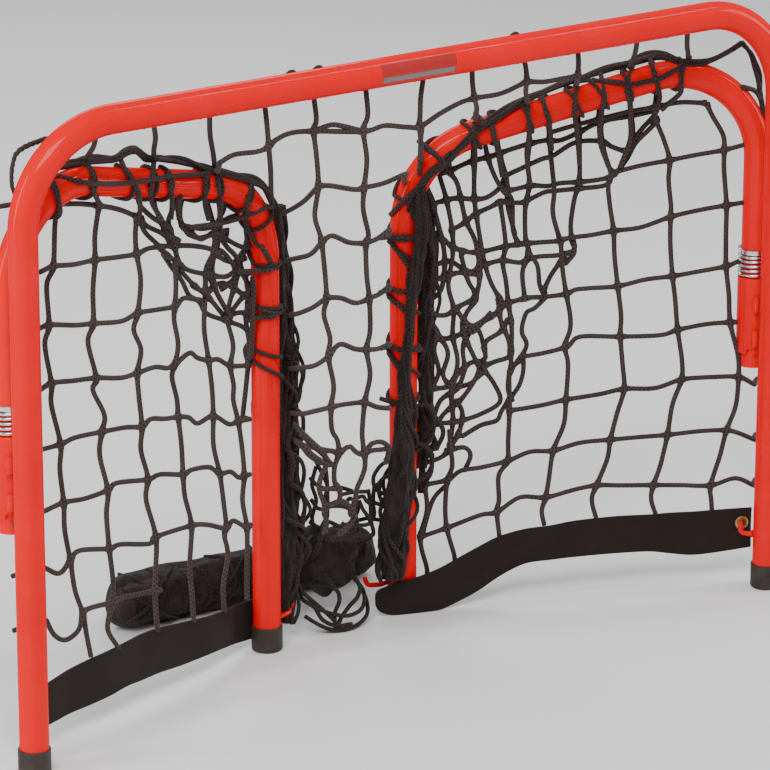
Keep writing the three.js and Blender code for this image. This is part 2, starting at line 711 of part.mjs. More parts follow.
// Slack net: the gathered roof net that hangs against the side net near the rear leg
function slackNet({ width, bottom, thickness }) {
  const near = WING_LENGTH - width;
  const top = barBelow(near);
  const outlineAt = (inset) => {
    const line = offsetLine(wingCorners(0, 0), WING_BENDS, NET_EDGE + inset);
    const beyond = line.filter((point) => point.x > near + inset && point.z > bottom + inset);
    const rear = WING_LENGTH - NET_EDGE - inset;
    return [
      new THREE.Vector3(near + inset, 0, top - inset),
      ...beyond,
      new THREE.Vector3(rear, 0, bottom + inset),
    ];
  };
  const knotAt = (column, row) => {
    const along = near + column * SLACK_NET_MESH;
    return waved(along, bottom + row * SLACK_NET_MESH, column, row, SLACK_NET_WAVE);
  };
  const columns = [0, Math.ceil(width / SLACK_NET_MESH)];
  const rows = [0, Math.ceil((top - bottom) / SLACK_NET_MESH)];
  const sheet = netSheet(outlineAt, knotAt, columns, rows, thickness);
  return sheet.translate(0, NET_THICKNESS / 2 + FIT_GAP + thickness / 2, 0);
}

// Crossbar net: the row of short meshes that hangs on the crossbar's hooks
function curtainColumn(column) {
  return column * NET_MESH - CURTAIN_LEFT_REACH;
}

function crossbarNet() {
  const top = CROSSBAR_HEIGHT - CURTAIN_TOP_DROP;
  const outlineAt = (inset) => {
    const edge = NET_CORD_WIDTH / 2 - inset;
    const left = curtainColumn(0) - edge;
    const right = curtainColumn(CURTAIN_COLUMNS) + edge;
    return [
      new THREE.Vector3(left, 0, top - inset),
      new THREE.Vector3(right, 0, top - inset),
      new THREE.Vector3(right, 0, CURTAIN_BOTTOM + inset),
      new THREE.Vector3(left, 0, CURTAIN_BOTTOM + inset),
    ];
  };
  const knotAt = (column, row) => {
    const height = row === 0 ? CURTAIN_BOTTOM + NET_CORD_WIDTH / 2 : top - NET_CORD_WIDTH / 2;
    return new THREE.Vector3(curtainColumn(column), 0, height);
  };
  const sheet = netSheet(outlineAt, knotAt, [0, CURTAIN_COLUMNS], [0, 1], NET_THICKNESS);
  return cut(sheet.translate(0, CURTAIN_SETBACK, 0), ...netHooks(NET_HOOK_WIRE + FIT_GAP * 2));
}

// Hanging net: one column of the roof net falls straight down below the crossbar, drawn in at its foot
function hangingNet() {
  const top = CURTAIN_BOTTOM - FIT_GAP;
  const bottom = top - HANGING_NET_LENGTH;
  const halfWidth = (height) => {
    return THREE.MathUtils.mapLinear(height, top, bottom, NET_MESH, HANGING_NET_FOOT_WIDTH) / 2;
  };
  const outlineAt = (inset) => {
    const edge = NET_CORD_WIDTH / 2 - inset;
    const upper = halfWidth(top) + edge;
    const lower = halfWidth(bottom) + edge;
    return [
      new THREE.Vector3(-upper, 0, top - inset),
      new THREE.Vector3(upper, 0, top - inset),
      new THREE.Vector3(lower, 0, bottom + inset),
      new THREE.Vector3(-lower, 0, bottom + inset),
    ];
  };
  const edge = NET_CORD_WIDTH / 2;
  const knotAt = (column, row) => {
    const height = THREE.MathUtils.lerp(top - edge, bottom + edge, row / HANGING_NET_ROWS);
    return new THREE.Vector3((column * 2 - 1) * halfWidth(height), 0, height);
  };
  const sheet = netSheet(outlineAt, knotAt, [0, 1], [0, HANGING_NET_ROWS], NET_THICKNESS);
  return sheet.translate(CURTAIN_MIDDLE, CURTAIN_SETBACK, 0);
}

function crossbarRope() {
  const bends = [FRAME_BEND_RADIUS, FRAME_BEND_RADIUS];
  const line = offsetLine(frameCorners(0), bends, CROSSBAR_ROPE_DROP);
  const points = line.filter((point) => point.z > CROSSBAR_HEIGHT - CROSSBAR_ROPE_END_DROP);
  return sweep(withTangents(points), CROSSBAR_ROPE_DIAMETER / 2, ROPE_SIDES).translate(0, CURTAIN_SETBACK, 0);
}

// Rope along the outside of the wing, from where it clears the post to the rear leg's foot
function wingRope() {
  const line = offsetLine(wingCorners(0, ROPE_END), WING_BENDS, -ROPE_OFFSET);
  const points = line.filter((point) => point.x > -ROPE_FRONT_OVERHANG);
  return sweep(withTangents(points), ROPE_DIAMETER / 2, ROPE_SIDES);
}

// Lacing: one cord wound round the wing's tube from the front bend to the rear foot
function lacing() {
  const whole = bentRun(wingCorners(0, LACING_END), WING_BENDS, BEND_STEPS);
  const run = { points: whole.points.slice(1), tangents: whole.tangents.slice(1) };
  const lengths = [0];
  run.points.slice(1).forEach((point, i) => lengths.push(lengths[i] + point.distanceTo(run.points[i])));
  const total = lengths[lengths.length - 1];
  const steps = Math.round(total / LACING_PITCH) * LACING_STEPS;
  const points = [];
  for (let k = 0; k <= steps; k++) {
    const place = total * k / steps;
    const next = Math.max(lengths.findIndex((length) => length >= place), 1);
    const share = (place - lengths[next - 1]) / (lengths[next] - lengths[next - 1]);
    const centre = run.points[next - 1].clone().lerp(run.points[next], share);
    const along = run.tangents[next - 1].clone().lerp(run.tangents[next], share).normalize();
    const inward = new THREE.Vector3(along.z, 0, -along.x);
    const angle = 2 * Math.PI * k / LACING_STEPS;
    centre.addScaledVector(inward, LACING_RADIUS * Math.cos(angle));
    points.push(centre.add(new THREE.Vector3(0, LACING_RADIUS * Math.sin(angle), 0)));
  }
  printLeastGap('lacing', points, LACING_DIAMETER, LACING_STEPS);
  return sweep(withTangents(points), LACING_DIAMETER / 2, CORD_SIDES);
}

// Gathered net and fabric: rolls whose radius swells and shrinks along their length
function roll(from, to, radius, squeeze, lumps) {
  const direction = to.clone().sub(from);
  const side = new THREE.Vector3(0, 1, 0);
  const up = direction.clone().normalize().cross(side);
  const rings = [];
  for (let i = 0; i <= ROLL_STEPS; i++) {
    const share = i / ROLL_STEPS;
    const centre = from.clone().addScaledVector(direction, share);
    const endRound = Math.sqrt(1 - (2 * share - 1) ** 4 * squeeze);
    const ring = Array.from({ length: ROLL_SIDES }, (_, j) => {
      const angle = 2 * Math.PI * j / ROLL_SIDES;
      const lump = 1 - lumps * (1 + Math.sin(3 * angle + 5 * share * Math.PI)) / 2;
      const reach = radius * endRound * lump;
      return centre.clone().addScaledVector(side, reach * Math.cos(angle))
        .addScaledVector(up, reach * Math.sin(angle));
    });
    ring.forEach((point) => point.setZ(Math.max(point.z, 0)));
    rings.push(ring);
  }
  return loft(rings);
}

const ROLL_SQUEEZE_SHARE = 0.6;
const ROLL_LUMP_SHARE = 0.16;
const HEAP_SLOPE_SHARE = 1.4;

// The back roll lies on the floor behind the rear legs; the left wing draws its left end along
function backRoll(radius) {
  const height = radius * (1 - ROLL_LUMP_SHARE);
  const from = new THREE.Vector3(-BACK_ROLL_LEFT, BACK_ROLL_SETBACK, height);
  const to = new THREE.Vector3(BACK_ROLL_RIGHT, BACK_ROLL_SETBACK, height);
  return roll(from, to, radius, ROLL_SQUEEZE_SHARE, ROLL_LUMP_SHARE);
}

function wingPath(hand, radius) {
  const path = rod(radius, GOAL_HEIGHT, LATHE_SIDES * 5).rotateX(Math.PI / 2);
  return path.translate(hand * POST_PLACE, HINGE_SETBACK, 0);
}

function middleRoll() {
  const reach = LEG_HOOK_TIP + FIT_GAP;
  return cut(backRoll(BACK_ROLL_RADIUS), wingPath(-1, reach), wingPath(1, reach));
}

function leftRoll() {
  const reach = solidFrom(wingPath(-1, LEG_HOOK_TIP));
  return geometryFrom(solidFrom(backRoll(BACK_ROLL_RADIUS)).intersect(reach));
}

// Trailing net: the slack net between the rear legs, heaped from the floor up against the left leg's bunch
function trailingNet() {
  const rings = [];
  for (let i = 0; i <= ROLL_STEPS; i++) {
    const share = i / ROLL_STEPS;
    const radius = THREE.MathUtils.lerp(HEAP_RADIUS, HEAP_TOP_RADIUS, share ** HEAP_SLOPE_SHARE);
    const place = THREE.MathUtils.lerp(HEAP_PLACE, HEAP_TOP_PLACE, share);
    const setback = THREE.MathUtils.lerp(HEAP_SETBACK, HEAP_TOP_SETBACK, share);
    rings.push(Array.from({ length: ROLL_SIDES * 2 }, (_, j) => {
      const angle = Math.PI * j / ROLL_SIDES;
      const lump = 1 - ROLL_LUMP_SHARE * (1 + Math.sin(4 * angle + 6 * share)) / 2;
      const tail = HEAP_TAIL_LENGTH * Math.max(Math.sin(angle), 0) ** 2 * (1 - share);
      const x = place + radius * lump * Math.cos(angle);
      const y = setback + (radius * lump + tail) * Math.sin(angle);
      return new THREE.Vector3(x, y, HEAP_HEIGHT * share);
    }));
  }
  return cut(loft(rings), backRoll(BACK_ROLL_RADIUS + FIT_GAP), wingPath(-1, BUNCH_TIP));
}

function leftBunch() {
  const from = new THREE.Vector3(BUNCH_PLACE, 0, BUNCH_BOTTOM + BUNCH_RADIUS);
  const to = new THREE.Vector3(BUNCH_PLACE, 0, WING_REAR_HEIGHT - BUNCH_TOP_DROP);
  return roll(from, to, BUNCH_RADIUS, ROLL_SQUEEZE_SHARE, ROLL_LUMP_SHARE);
}

function rightBunch() {
  const setback = NET_THICKNESS / 2 + FIT_GAP * 2 + RIGHT_SLACK_NET.thickness + RIGHT_BUNCH_RADIUS;
  const place = WING_LENGTH - RIGHT_BUNCH_INSET;
  const from = new THREE.Vector3(place, setback, RIGHT_BUNCH_BOTTOM);
  const to = new THREE.Vector3(place, setback, WING_REAR_HEIGHT - RIGHT_BUNCH_TOP_DROP);
  return roll(from, to, RIGHT_BUNCH_RADIUS, ROLL_SQUEEZE_SHARE, ROLL_LUMP_SHARE);
}

// Assembly
const goal = new THREE.Group();
const assembly = new THREE.Group();
goal.add(assembly);

function place(parent, name, geometry, look) {
  const mesh = new THREE.Mesh(geometry, finish(...look));
  mesh.name = name;
  parent.add(mesh);
}

function addHinge(side, geometryFor) {
  const hinge = new THREE.Group();
  hinge.position.set(side === 'left' ? -POST_PLACE : POST_PLACE, HINGE_SETBACK, 0);
  place(hinge, `${side}_hinge_sleeve`, geometryFor(hingeSleeve()), PAINT);
  place(hinge, `${side}_spring`, geometryFor(spring()), STEEL);
  place(hinge, `${side}_spring_seat`, geometryFor(springSeat()), STEEL);
  assembly.add(hinge);
}

function addWing(side, angle, geometryFor, slack, band) {
  const wing = new THREE.Group();
  wing.position.set(side === 'left' ? -POST_PLACE : POST_PLACE, HINGE_SETBACK, 0);
  wing.rotation.z = THREE.MathUtils.degToRad(side === 'left' ? angle : -angle);
  place(wing, `${side}_wing_tube`, geometryFor(wingTube()), PAINT);
  place(wing, `${side}_lock_pin`, geometryFor(lockPin()), DARK_STEEL);
  place(wing, `${side}_wing_foot`, geometryFor(footCap(WING_RADIUS).translate(WING_LENGTH, 0, 0)), CAP_RUBBER);
  place(wing, `${side}_leg_hook`, geometryFor(legHook()), PAINT);
  place(wing, `${side}_side_net`, geometryFor(sideNet()), NET_CORD);
  place(wing, `${side}_slack_net`, geometryFor(slackNet(slack)), NET_CORD);
  place(wing, `${side}_wing_rope`, geometryFor(wingRope()), NET_CORD);
  place(wing, `${side}_net_lacing`, geometryFor(lacing()), NET_CORD);
  place(wing, `${side}_skirt_band`, geometryFor(skirtBand(band.hand, band.overhang)), FABRIC);
  place(wing, `${side}_band_eyelet`, geometryFor(bandEyelet()), BRASS);
  assembly.add(wing);
  return wing;
}

function addPostPieces(side, geometryFor) {
  const post = new THREE.Group();
  post.position.x = side === 'left' ? -POST_PLACE : POST_PLACE;
  place(post, `${side}_post_foot`, geometryFor(footCap(FRAME_RADIUS)), CAP_RUBBER);
  place(post, `${side}_post_hook`, geometryFor(postHook()), PAINT);
  assembly.add(post);
}

const asMade = (geometry) => geometry;
const BAND_BEHIND = { hand: 1, overhang: LEFT_BAND_OVERHANG };
const BAND_IN_FRONT = { hand: -1, overhang: RIGHT_BAND_OVERHANG };

place(assembly, 'front_frame_tube', frameTube(), PAINT);
place(assembly, 'crossbar_rope', crossbarRope(), NET_CORD);
place(assembly, 'crossbar_net', crossbarNet(), NET_CORD);
place(assembly, 'hanging_net', hangingNet(), NET_CORD);
place(assembly, 'trailing_net', trailingNet(), NET_CORD);
place(assembly, 'middle_back_roll', middleRoll(), NET_CORD);
place(assembly, 'left_back_roll', leftRoll(), NET_CORD);
addPostPieces('left', asMade);
addPostPieces('right', mirrored);
addHinge('left', asMade);
addHinge('right', mirrored);
const leftWing = addWing('left', LEFT_WING_ANGLE, asMade, LEFT_SLACK_NET, BAND_BEHIND);
const rightWing = addWing('right', RIGHT_WING_ANGLE, mirrored, RIGHT_SLACK_NET, BAND_IN_FRONT);
place(leftWing, 'left_net_bunch', leftBunch(), NET_CORD);
place(rightWing, 'right_net_bunch', mirrored(rightBunch()), NET_CORD);

// The origin is on the floor, in the middle of the goal's box
goal.updateMatrixWorld(true);
const box = new THREE.Box3().setFromObject(goal);
assembly.position.y = -(box.min.y + box.max.y) / 2;
console.log(`assembly shift along Y ${assembly.position.y.toFixed(4)} mm`);

export default goal;
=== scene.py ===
import json
import math

import bpy
import numpy as np
from mathutils import Matrix, Vector


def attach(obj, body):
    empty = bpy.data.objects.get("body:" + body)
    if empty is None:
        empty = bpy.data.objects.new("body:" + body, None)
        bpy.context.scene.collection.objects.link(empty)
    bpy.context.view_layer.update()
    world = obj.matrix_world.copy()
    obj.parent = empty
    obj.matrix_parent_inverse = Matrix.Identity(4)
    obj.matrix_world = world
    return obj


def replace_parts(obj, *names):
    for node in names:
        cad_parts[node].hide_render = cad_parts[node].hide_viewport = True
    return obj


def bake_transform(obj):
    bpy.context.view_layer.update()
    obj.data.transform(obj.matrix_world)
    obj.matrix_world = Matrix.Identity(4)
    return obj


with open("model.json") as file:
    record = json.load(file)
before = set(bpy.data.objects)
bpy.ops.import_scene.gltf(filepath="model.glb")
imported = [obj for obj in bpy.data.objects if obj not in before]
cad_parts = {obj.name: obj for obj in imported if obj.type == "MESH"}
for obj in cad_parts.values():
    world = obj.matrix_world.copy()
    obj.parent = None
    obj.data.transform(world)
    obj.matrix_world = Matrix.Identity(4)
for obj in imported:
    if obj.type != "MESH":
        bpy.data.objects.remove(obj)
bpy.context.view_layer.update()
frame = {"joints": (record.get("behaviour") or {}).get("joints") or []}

# Main sizes of the goal in millimetres, with the origin on the floor midway between the posts
POST = 436
TUBE = 14
CROSSBAR = 616
FRAME_BEND = 95
WING_LENGTH = 368
WING_FRONT = 568
WING_REAR = 478
WING_BENDS = (92, 95)
HINGE = 31.5
ANGLES = {"left": math.radians(17.4), "right": math.radians(20)}
BODY = {"left": "left_wing", "right": "right_wing"}
SEAT = {"left": "left_seat", "right": "right_seat"}
HAND = {"left": 1, "right": -1}
CORD = 2.6
# Where the tubes end above the floor, where a wing's stub starts, and where its lacing stops
TUBE_END = 3.3
STUB_BOTTOM = 232
LACING_END = 75
# The lacing's middle lies this far off the tube's skin
LACING_LIFT = 1.9
NET_HOOK_SPACING = 60
NET_HOOK_WIRE = 1.5
WIRE_HOOK = 2.5
# The hinge sleeve: its ends, and the slots across its lower rim, in degrees and millimetres
SLEEVE_LOW = 247
SLEEVE_HIGH = 327
SLOT_ANGLES = {"left": (50, 140, 230, 320), "right": (40, 130, 220, 310)}
SLOT_HALF = 10.6
SLOT_DEPTH = 5.5
SPRING_TURNS = 5
SPRING_RADIUS = 15.95
SPRING_WIRE = 1.5
SPRING_LOW = 328.9
SPRING_RISE = 21.3
# The core of a gathered net, as a share of its radius
CORE_SHARE = 0.72
FLOOR_GAP = 0.6
FILM_SIDES = 24
BAND_STEPS = 120
BAND_ROWS = 16
# Half the band's thickness, and its hems along both edges
BAND_HALF = 0.85
HEM = 0.35
HEM_SHARE = 0.12
UP = np.array([0.0, 0.0, 1.0])

hinge_y = next(j for j in frame["joints"] if j["name"] == "left_swing")["pos_m"][1] * 1000
SHIFT = np.array([0.0, hinge_y - HINGE, 0.0])


def at(x, y, z):
    """A point of the standing frame."""
    return np.array([x, y, z], float)


def on_wing(side, s, o, z):
    """A point of a wing: s runs out from the hinge, o backward from its plane."""
    a = ANGLES[side]
    h = HAND[side]
    along = np.array([h * math.cos(a), math.sin(a), 0.0])
    back = np.array([-h * math.sin(a), math.cos(a), 0.0])
    return np.array([-h * POST, HINGE, z], float) + along * s + back * o


def metres(points):
    return (np.asarray(points, float) + SHIFT) / 1000


# The photograph's camera: its middle pixel, its focal length in pixels, its place and its directions
PHOTO_MIDDLE = 385
FOCAL_PIXELS = 4713.06
EYE = at(-2470.63, -3516.94, 1729.78)
RIGHTWARD = at(0.82315, -0.56782, 0.00218)
DOWNWARD = at(-0.17759, -0.2611, -0.94883)
SIGHT = at(0.53933, 0.78065, -0.31577)


# How deep the hanging net was seen
HANGING_DEPTH = 9


def sight(pixel):
    """The direction of the line of sight through a pixel."""
    across, under = (np.array(pixel) - PHOTO_MIDDLE) / FOCAL_PIXELS
    return SIGHT + across * RIGHTWARD + under * DOWNWARD


def wing_directions(side):
    """Out along a wing, back from its plane, and up."""
    corner = on_wing(side, 0, 0, 0)
    return on_wing(side, 1, 0, 0) - corner, on_wing(side, 0, 1, 0) - corner, UP


def seen_on_wing(side, pixel, behind=0):
    """Where the line of sight through a pixel meets a wing's net, as (along the wing, height)."""
    out, back, _ = wing_directions(side)
    corner = on_wing(side, 0, behind, 0)
    way = sight(pixel)
    place = EYE + way * (((corner - EYE) @ back) / (way @ back)) - corner
    return round(float(place @ out)), round(float(place[2]))


def seen_cords(side, table, behind=0):
    """The places, in whole millimetres, of cords that are given as pixels."""
    return [[seen_on_wing(side, pixel, behind) for pixel in cord] for cord in table]


def net_place(place):
    """A place in the hanging net: two values are a pixel, three are (across, back, height)."""
    if len(place) == 3:
        return at(*place)
    way = sight(place)
    return np.round(EYE + way * ((HANGING_DEPTH - EYE[1]) / way[1]))


# Curves
def smooth(points, step=4.0):
    """Points a set step apart on a smooth curve through the given ones."""
    p = np.asarray(points, float)
    if len(p) < 3:
        n = max(2, int(np.linalg.norm(p[-1] - p[0]) / step) + 1)
        return p[0] + (p[-1] - p[0]) * np.linspace(0, 1, n)[:, None]
    q = np.vstack([2 * p[0] - p[1], p, 2 * p[-1] - p[-2]])
    out = []
    for i in range(1, len(q) - 2):
        a, b, c, d = q[i - 1:i + 3]
        n = max(1, int(round(np.linalg.norm(c - b) / step)))
        t = np.linspace(0, 1, n, endpoint=False)[:, None]
        out.append(0.5 * (2 * b + (c - a) * t + (2 * a - 5 * b + 4 * c - d) * t ** 2
                          + (3 * b - a - 3 * c + d) * t ** 3))
    out.append(p[-1:])
    return np.vstack(out)


def bent(corners, radii, steps=28):
    """Straight runs joined by arcs."""
    c = [np.asarray(v, float) for v in corners]
    out = [c[0]]
    for i in range(1, len(c) - 1):
        before = (c[i - 1] - c[i]) / np.linalg.norm(c[i - 1] - c[i])
        after = (c[i + 1] - c[i]) / np.linalg.norm(c[i + 1] - c[i])
        half = math.acos(float(np.clip(before @ after, -1, 1))) / 2
        inward = (before + after) / np.linalg.norm(before + after)
        centre = c[i] + inward * radii[i - 1] / math.sin(half)
        spoke = c[i] + before * radii[i - 1] / math.tan(half) - centre
        end = c[i] + after * radii[i - 1] / math.tan(half) - centre
        turn = math.pi - 2 * half
        for k in range(steps + 1):
            t = k / steps
            reach = spoke * math.sin((1 - t) * turn) + end * math.sin(t * turn)
            out.append(centre + reach / math.sin(turn))
    out.append(c[-1])
    return np.array(out)


def lengths(points):
    return np.concatenate([[0], np.cumsum(np.linalg.norm(np.diff(points, axis=0), axis=1))])


def along(points, places):
    """Points and directions at given lengths along a run."""
    d = lengths(points)
    here = np.stack([np.interp(places, d, points[:, k]) for k in range(3)], 1)
    ahead = np.stack([np.interp(np.asarray(places) + 0.5, d, points[:, k]) for k in range(3)], 1)
    behind = np.stack([np.interp(np.asarray(places) - 0.5, d, points[:, k]) for k in range(3)], 1)
    way = ahead - behind
    return here, way / np.maximum(np.linalg.norm(way, axis=1, keepdims=True), 1e-9)


def unit(v):
    return v / max(float(np.linalg.norm(v)), 1e-12)


# A mesh gathers rings of points, in millimetres, and becomes one piece
class Skin:
    def __init__(self):
        self.points = []
        self.faces = []
        self.uvs = []
        self.count = 0
        self.second = None

    def then(self, look):
        """What is added from here on gets another look."""
        self.second = (look, len(self.faces))

    def rings(self, rings, uv_scale=1.0, closed=True, caps=True, length=None):
        """Rings of equally many points; closed ones get a face between last and first point."""
        rings = np.asarray(rings, float)
        m, n = rings.shape[:2]
        start = self.count
        self.points.append(rings.reshape(-1, 3))
        self.count += m * n
        if length is None:
            length = lengths(rings.mean(axis=1))
        i, j = np.meshgrid(np.arange(m - 1), np.arange(n if closed else n - 1), indexing="ij")
        i, j = i.ravel(), j.ravel()
        k = (j + 1) % n
        quads = np.stack([i * n + j, i * n + k, (i + 1) * n + k, (i + 1) * n + j], 1) + start
        self.faces.extend(quads.tolist())
        u0, u1 = length[i] * uv_scale, length[i + 1] * uv_scale
        v0, v1 = j / n, (j + 1) / n
        self.uvs.append(np.stack([u0, v0, u0, v1, u1, v1, u1, v0], 1).reshape(-1, 2))
        if caps and closed:
            self.faces.append([start + x for x in range(n)][::-1])
            self.faces.append([start + (m - 1) * n + x for x in range(n)])
            self.uvs.append(np.tile([[length[0] * uv_scale, 0.5]], (n, 1)))
            self.uvs.append(np.tile([[length[-1] * uv_scale, 0.5]], (n, 1)))
        return self

    def tube(self, points, radius, sides=8, side=None):
        """A round tube along a run; the radius may vary from point to point."""
        p = np.asarray(points, float)
        way = np.gradient(p, axis=0)
        way /= np.maximum(np.linalg.norm(way, axis=1, keepdims=True), 1e-9)
        r = np.broadcast_to(np.asarray(radius, float), len(p))
        ref = side if side is not None else (UP if abs(way[0][2]) < 0.8 else np.array([1.0, 0, 0]))
        a = unit(np.cross(way[0], ref))
        angle = 2 * math.pi * np.arange(sides) / sides
        cos, sin = np.cos(angle)[:, None], np.sin(angle)[:, None]
        rings = []
        for q, w, k in zip(p, way, r):
            a = unit(a - w * (a @ w))
            b = np.cross(w, a)
            rings.append(q + k * (cos * a + sin * b))
        return self.rings(rings, uv_scale=0.001, length=lengths(p))

    def lathe(self, profile, origin, axis=UP, sides=48):
        """A turned skin; the profile is (radius, height) from one end to the other."""
        axis = unit(np.asarray(axis, float))
        a = unit(np.cross(axis, [0, 1, 0] if abs(axis[2]) > 0.8 else UP))
        b = np.cross(axis, a)
        angle = 2 * math.pi * np.arange(sides) / sides
        spokes = np.cos(angle)[:, None] * a + np.sin(angle)[:, None] * b
        rings = [np.asarray(origin, float) + spokes * r + axis * h for r, h in profile]
        d = np.concatenate([[0], np.cumsum([math.dist(x, y) for x, y in zip(profile, profile[1:])])])
        return self.rings(rings, uv_scale=0.001, length=d)

    def piece(self, name, look, smooth_angle=None):
        mesh = bpy.data.meshes.new(name)
        mesh.from_pydata(metres(np.vstack(self.points)).tolist(), [], self.faces)
        layer = mesh.uv_layers.new(name="run")
        layer.data.foreach_set("uv", np.vstack(self.uvs).astype(np.float32).ravel())
        if self.second:
            first = self.second[1]
            mesh.polygons.foreach_set("material_index", [0] * first + [1] * (len(self.faces) - first))
        mesh.validate()
        mesh.polygons.foreach_set("use_smooth", [True] * len(mesh.polygons))
        if smooth_angle is not None:
            mesh.set_sharp_from_angle(angle=math.radians(smooth_angle))
        mesh.update()
        piece = bpy.data.objects.new(name, mesh)
        bpy.context.scene.collection.objects.link(piece)
        mesh.materials.append(look)
        if self.second:
            mesh.materials.append(self.second[0])
        return piece


# Materials, made of nodes
def material(name, color, roughness, metallic=0.0, **sockets):
    look = bpy.data.materials.new(name)
    look.use_nodes = True
    shader = look.node_tree.nodes["Principled BSDF"]
    shader.inputs["Base Color"].default_value = (*color, 1)
    shader.inputs["Roughness"].default_value = roughness
    shader.inputs["Metallic"].default_value = metallic
    for key, value in sockets.items():
        shader.inputs[key.replace("_", " ")].default_value = value
    return look


class Nodes:
    def __init__(self, look):
        self.tree = look.node_tree
        self.shader = self.tree.nodes["Principled BSDF"]

    def new(self, kind, **inputs):
        node = self.tree.nodes.new(kind)
        for key, value in inputs.items():
            socket = node.inputs[key.replace("_", " ")]
            if isinstance(value, bpy.types.NodeSocket):
                self.tree.links.new(value, socket)
            else:
                socket.default_value = value
        return node

    def math(self, kind, a, b=0.0):
        node = self.tree.nodes.new("ShaderNodeMath")
        node.operation = kind
        for i, value in enumerate((a, b)):
            if isinstance(value, bpy.types.NodeSocket):
                self.tree.links.new(value, node.inputs[i])
            else:
                node.inputs[i].default_value = value
        return node.outputs[0]

    def place(self):
        return self.new("ShaderNodeTexCoord").outputs["Object"]

    def run(self):
        uv = self.new("ShaderNodeUVMap")
        uv.uv_map = "run"
        parts = self.new("ShaderNodeSeparateXYZ", Vector=uv.outputs[0])
        return parts.outputs[0], parts.outputs[1]

    def noise(self, scale, detail=3.0, roughness=0.5, vector=None):
        node = self.new("ShaderNodeTexNoise", Scale=scale, Detail=detail, Roughness=roughness)
        self.tree.links.new(vector or self.place(), node.inputs["Vector"])
        return node.outputs["Fac"]

    def ramp(self, value, stops):
        node = self.new("ShaderNodeValToRGB", Fac=value)
        ramp = node.color_ramp
        while len(ramp.elements) < len(stops):
            ramp.elements.new(0.5)
        for element, (place, color) in zip(ramp.elements, stops):
            element.position = place
            element.color = (*color, 1) if len(color) == 3 else color
        return node.outputs["Color"]

    def range(self, value, low, high, to_low, to_high):
        node = self.new("ShaderNodeMapRange", Value=value, From_Min=low, From_Max=high, To_Min=to_low,
                        To_Max=to_high)
        return node.outputs[0]

    def mix(self, factor, a, b):
        node = self.tree.nodes.new("ShaderNodeMix")
        node.data_type = "RGBA"
        for socket, value in ((node.inputs[0], factor), (node.inputs[6], a), (node.inputs[7], b)):
            if isinstance(value, bpy.types.NodeSocket):
                self.tree.links.new(value, socket)
            else:
                socket.default_value = (*value, 1) if isinstance(value, tuple) else value
        return node.outputs[2]

    def bump(self, height, strength, distance, normal=None):
        node = self.new("ShaderNodeBump", Strength=strength, Distance=distance, Height=height)
        if normal is not None:
            self.tree.links.new(normal, node.inputs["Normal"])
        return node.outputs[0]

    def into(self, socket, value):
        self.tree.links.new(value, self.shader.inputs[socket])


def paint_look():
    look = material("red_powder_coat", (0.85, 0.002, 0.004), 0.45, Coat_Weight=0.22, Coat_Roughness=0.05,
                    Specular_IOR_Level=0.0)
    n = Nodes(look)
    wide = n.noise(9.0, 4.0, 0.6)
    color = n.ramp(wide, [(0.3, (0.74, 0.0015, 0.004)), (0.7, (0.84, 0.0025, 0.006))])
    scuff = n.range(n.noise(60.0, 8.0, 0.75), 0.66, 0.78, 0.0, 0.35)
    n.into("Base Color", n.mix(scuff, color, (0.4, 0.007, 0.006)))
    n.into("Roughness", n.range(n.noise(25.0, 5.0, 0.6), 0.3, 0.75, 0.38, 0.55))
    peel = n.bump(n.noise(420.0, 2.0, 0.5), 0.12, 0.0006)
    n.into("Normal", n.bump(n.noise(55.0, 3.0, 0.5), 0.1, 0.002, peel))
    return look


def cord_look(name, dark, light, turns, pitch, fray_and_glint):
    look = material(name, light, 0.88, Sheen_Weight=0.06, Sheen_Roughness=0.5, Specular_IOR_Level=0.18)
    n = Nodes(look)
    u, v = n.run()
    steps = n.math("MULTIPLY", u, 1000.0 / pitch * 2 * math.pi)
    around = n.math("MULTIPLY", v, turns * 2 * math.pi)
    left = n.math("SINE", n.math("ADD", steps, around))
    right = n.math("SINE", n.math("SUBTRACT", steps, around))
    plait = n.range(n.math("MAXIMUM", left, right), -0.6, 1.0, 0.0, 1.0)
    fibre = n.noise(2600.0, 4.0, 0.7)
    height = n.math("ADD", plait, n.math("MULTIPLY", fibre, 0.5))
    # Painted shade: the plait's grooves take the dark colour and its crowns the light one
    color = n.mix(plait, dark, light)
    color = n.mix(n.range(n.noise(40.0, 3.0, 0.6), 0.35, 0.7, 0.0, 0.45), color, dark)
    # Pale specks: frayed fibres, with a painted highlight on them
    fray_glint_speck = n.range(n.noise(900.0, 2.0, 0.5), 0.7, 0.76, 0.0, fray_and_glint)
    n.into("Base Color", n.mix(fray_glint_speck, color, (0.32, 0.27, 0.25)))
    n.into("Normal", n.bump(height, 0.6, 0.0007))
    return look


def folded_look():
    """Net folded so tightly that its cords only show as creases."""
    look = material("folded_net", (0.026, 0.017, 0.015), 0.85, Sheen_Weight=0.06, Sheen_Roughness=0.5,
                    Specular_IOR_Level=0.2)
    n = Nodes(look)
    stretch = n.new("ShaderNodeMapping", Vector=n.place(), Scale=(1.0, 1.6, 0.45), Rotation=(0.5, 0.7, 0.3))
    creases = n.noise(75.0, 5.0, 0.6, stretch.outputs[0])
    lines = n.noise(260.0, 3.0, 0.7, stretch.outputs[0])
    # Painted shade: the low parts of the creases take the darker colour
    color = n.ramp(creases, [(0.35, (0.012, 0.008, 0.007)), (0.6, (0.034, 0.023, 0.02))])
    # Pale specks: frayed fibres, with a painted highlight on them
    fray_glint_speck = n.range(n.noise(850.0, 2.0, 0.5), 0.68, 0.75, 0.0, 0.4)
    n.into("Base Color", n.mix(fray_glint_speck, color, (0.22, 0.18, 0.165)))
    n.into("Normal", n.bump(n.math("ADD", creases, n.math("MULTIPLY", lines, 0.5)), 0.9, 0.004))
    return look


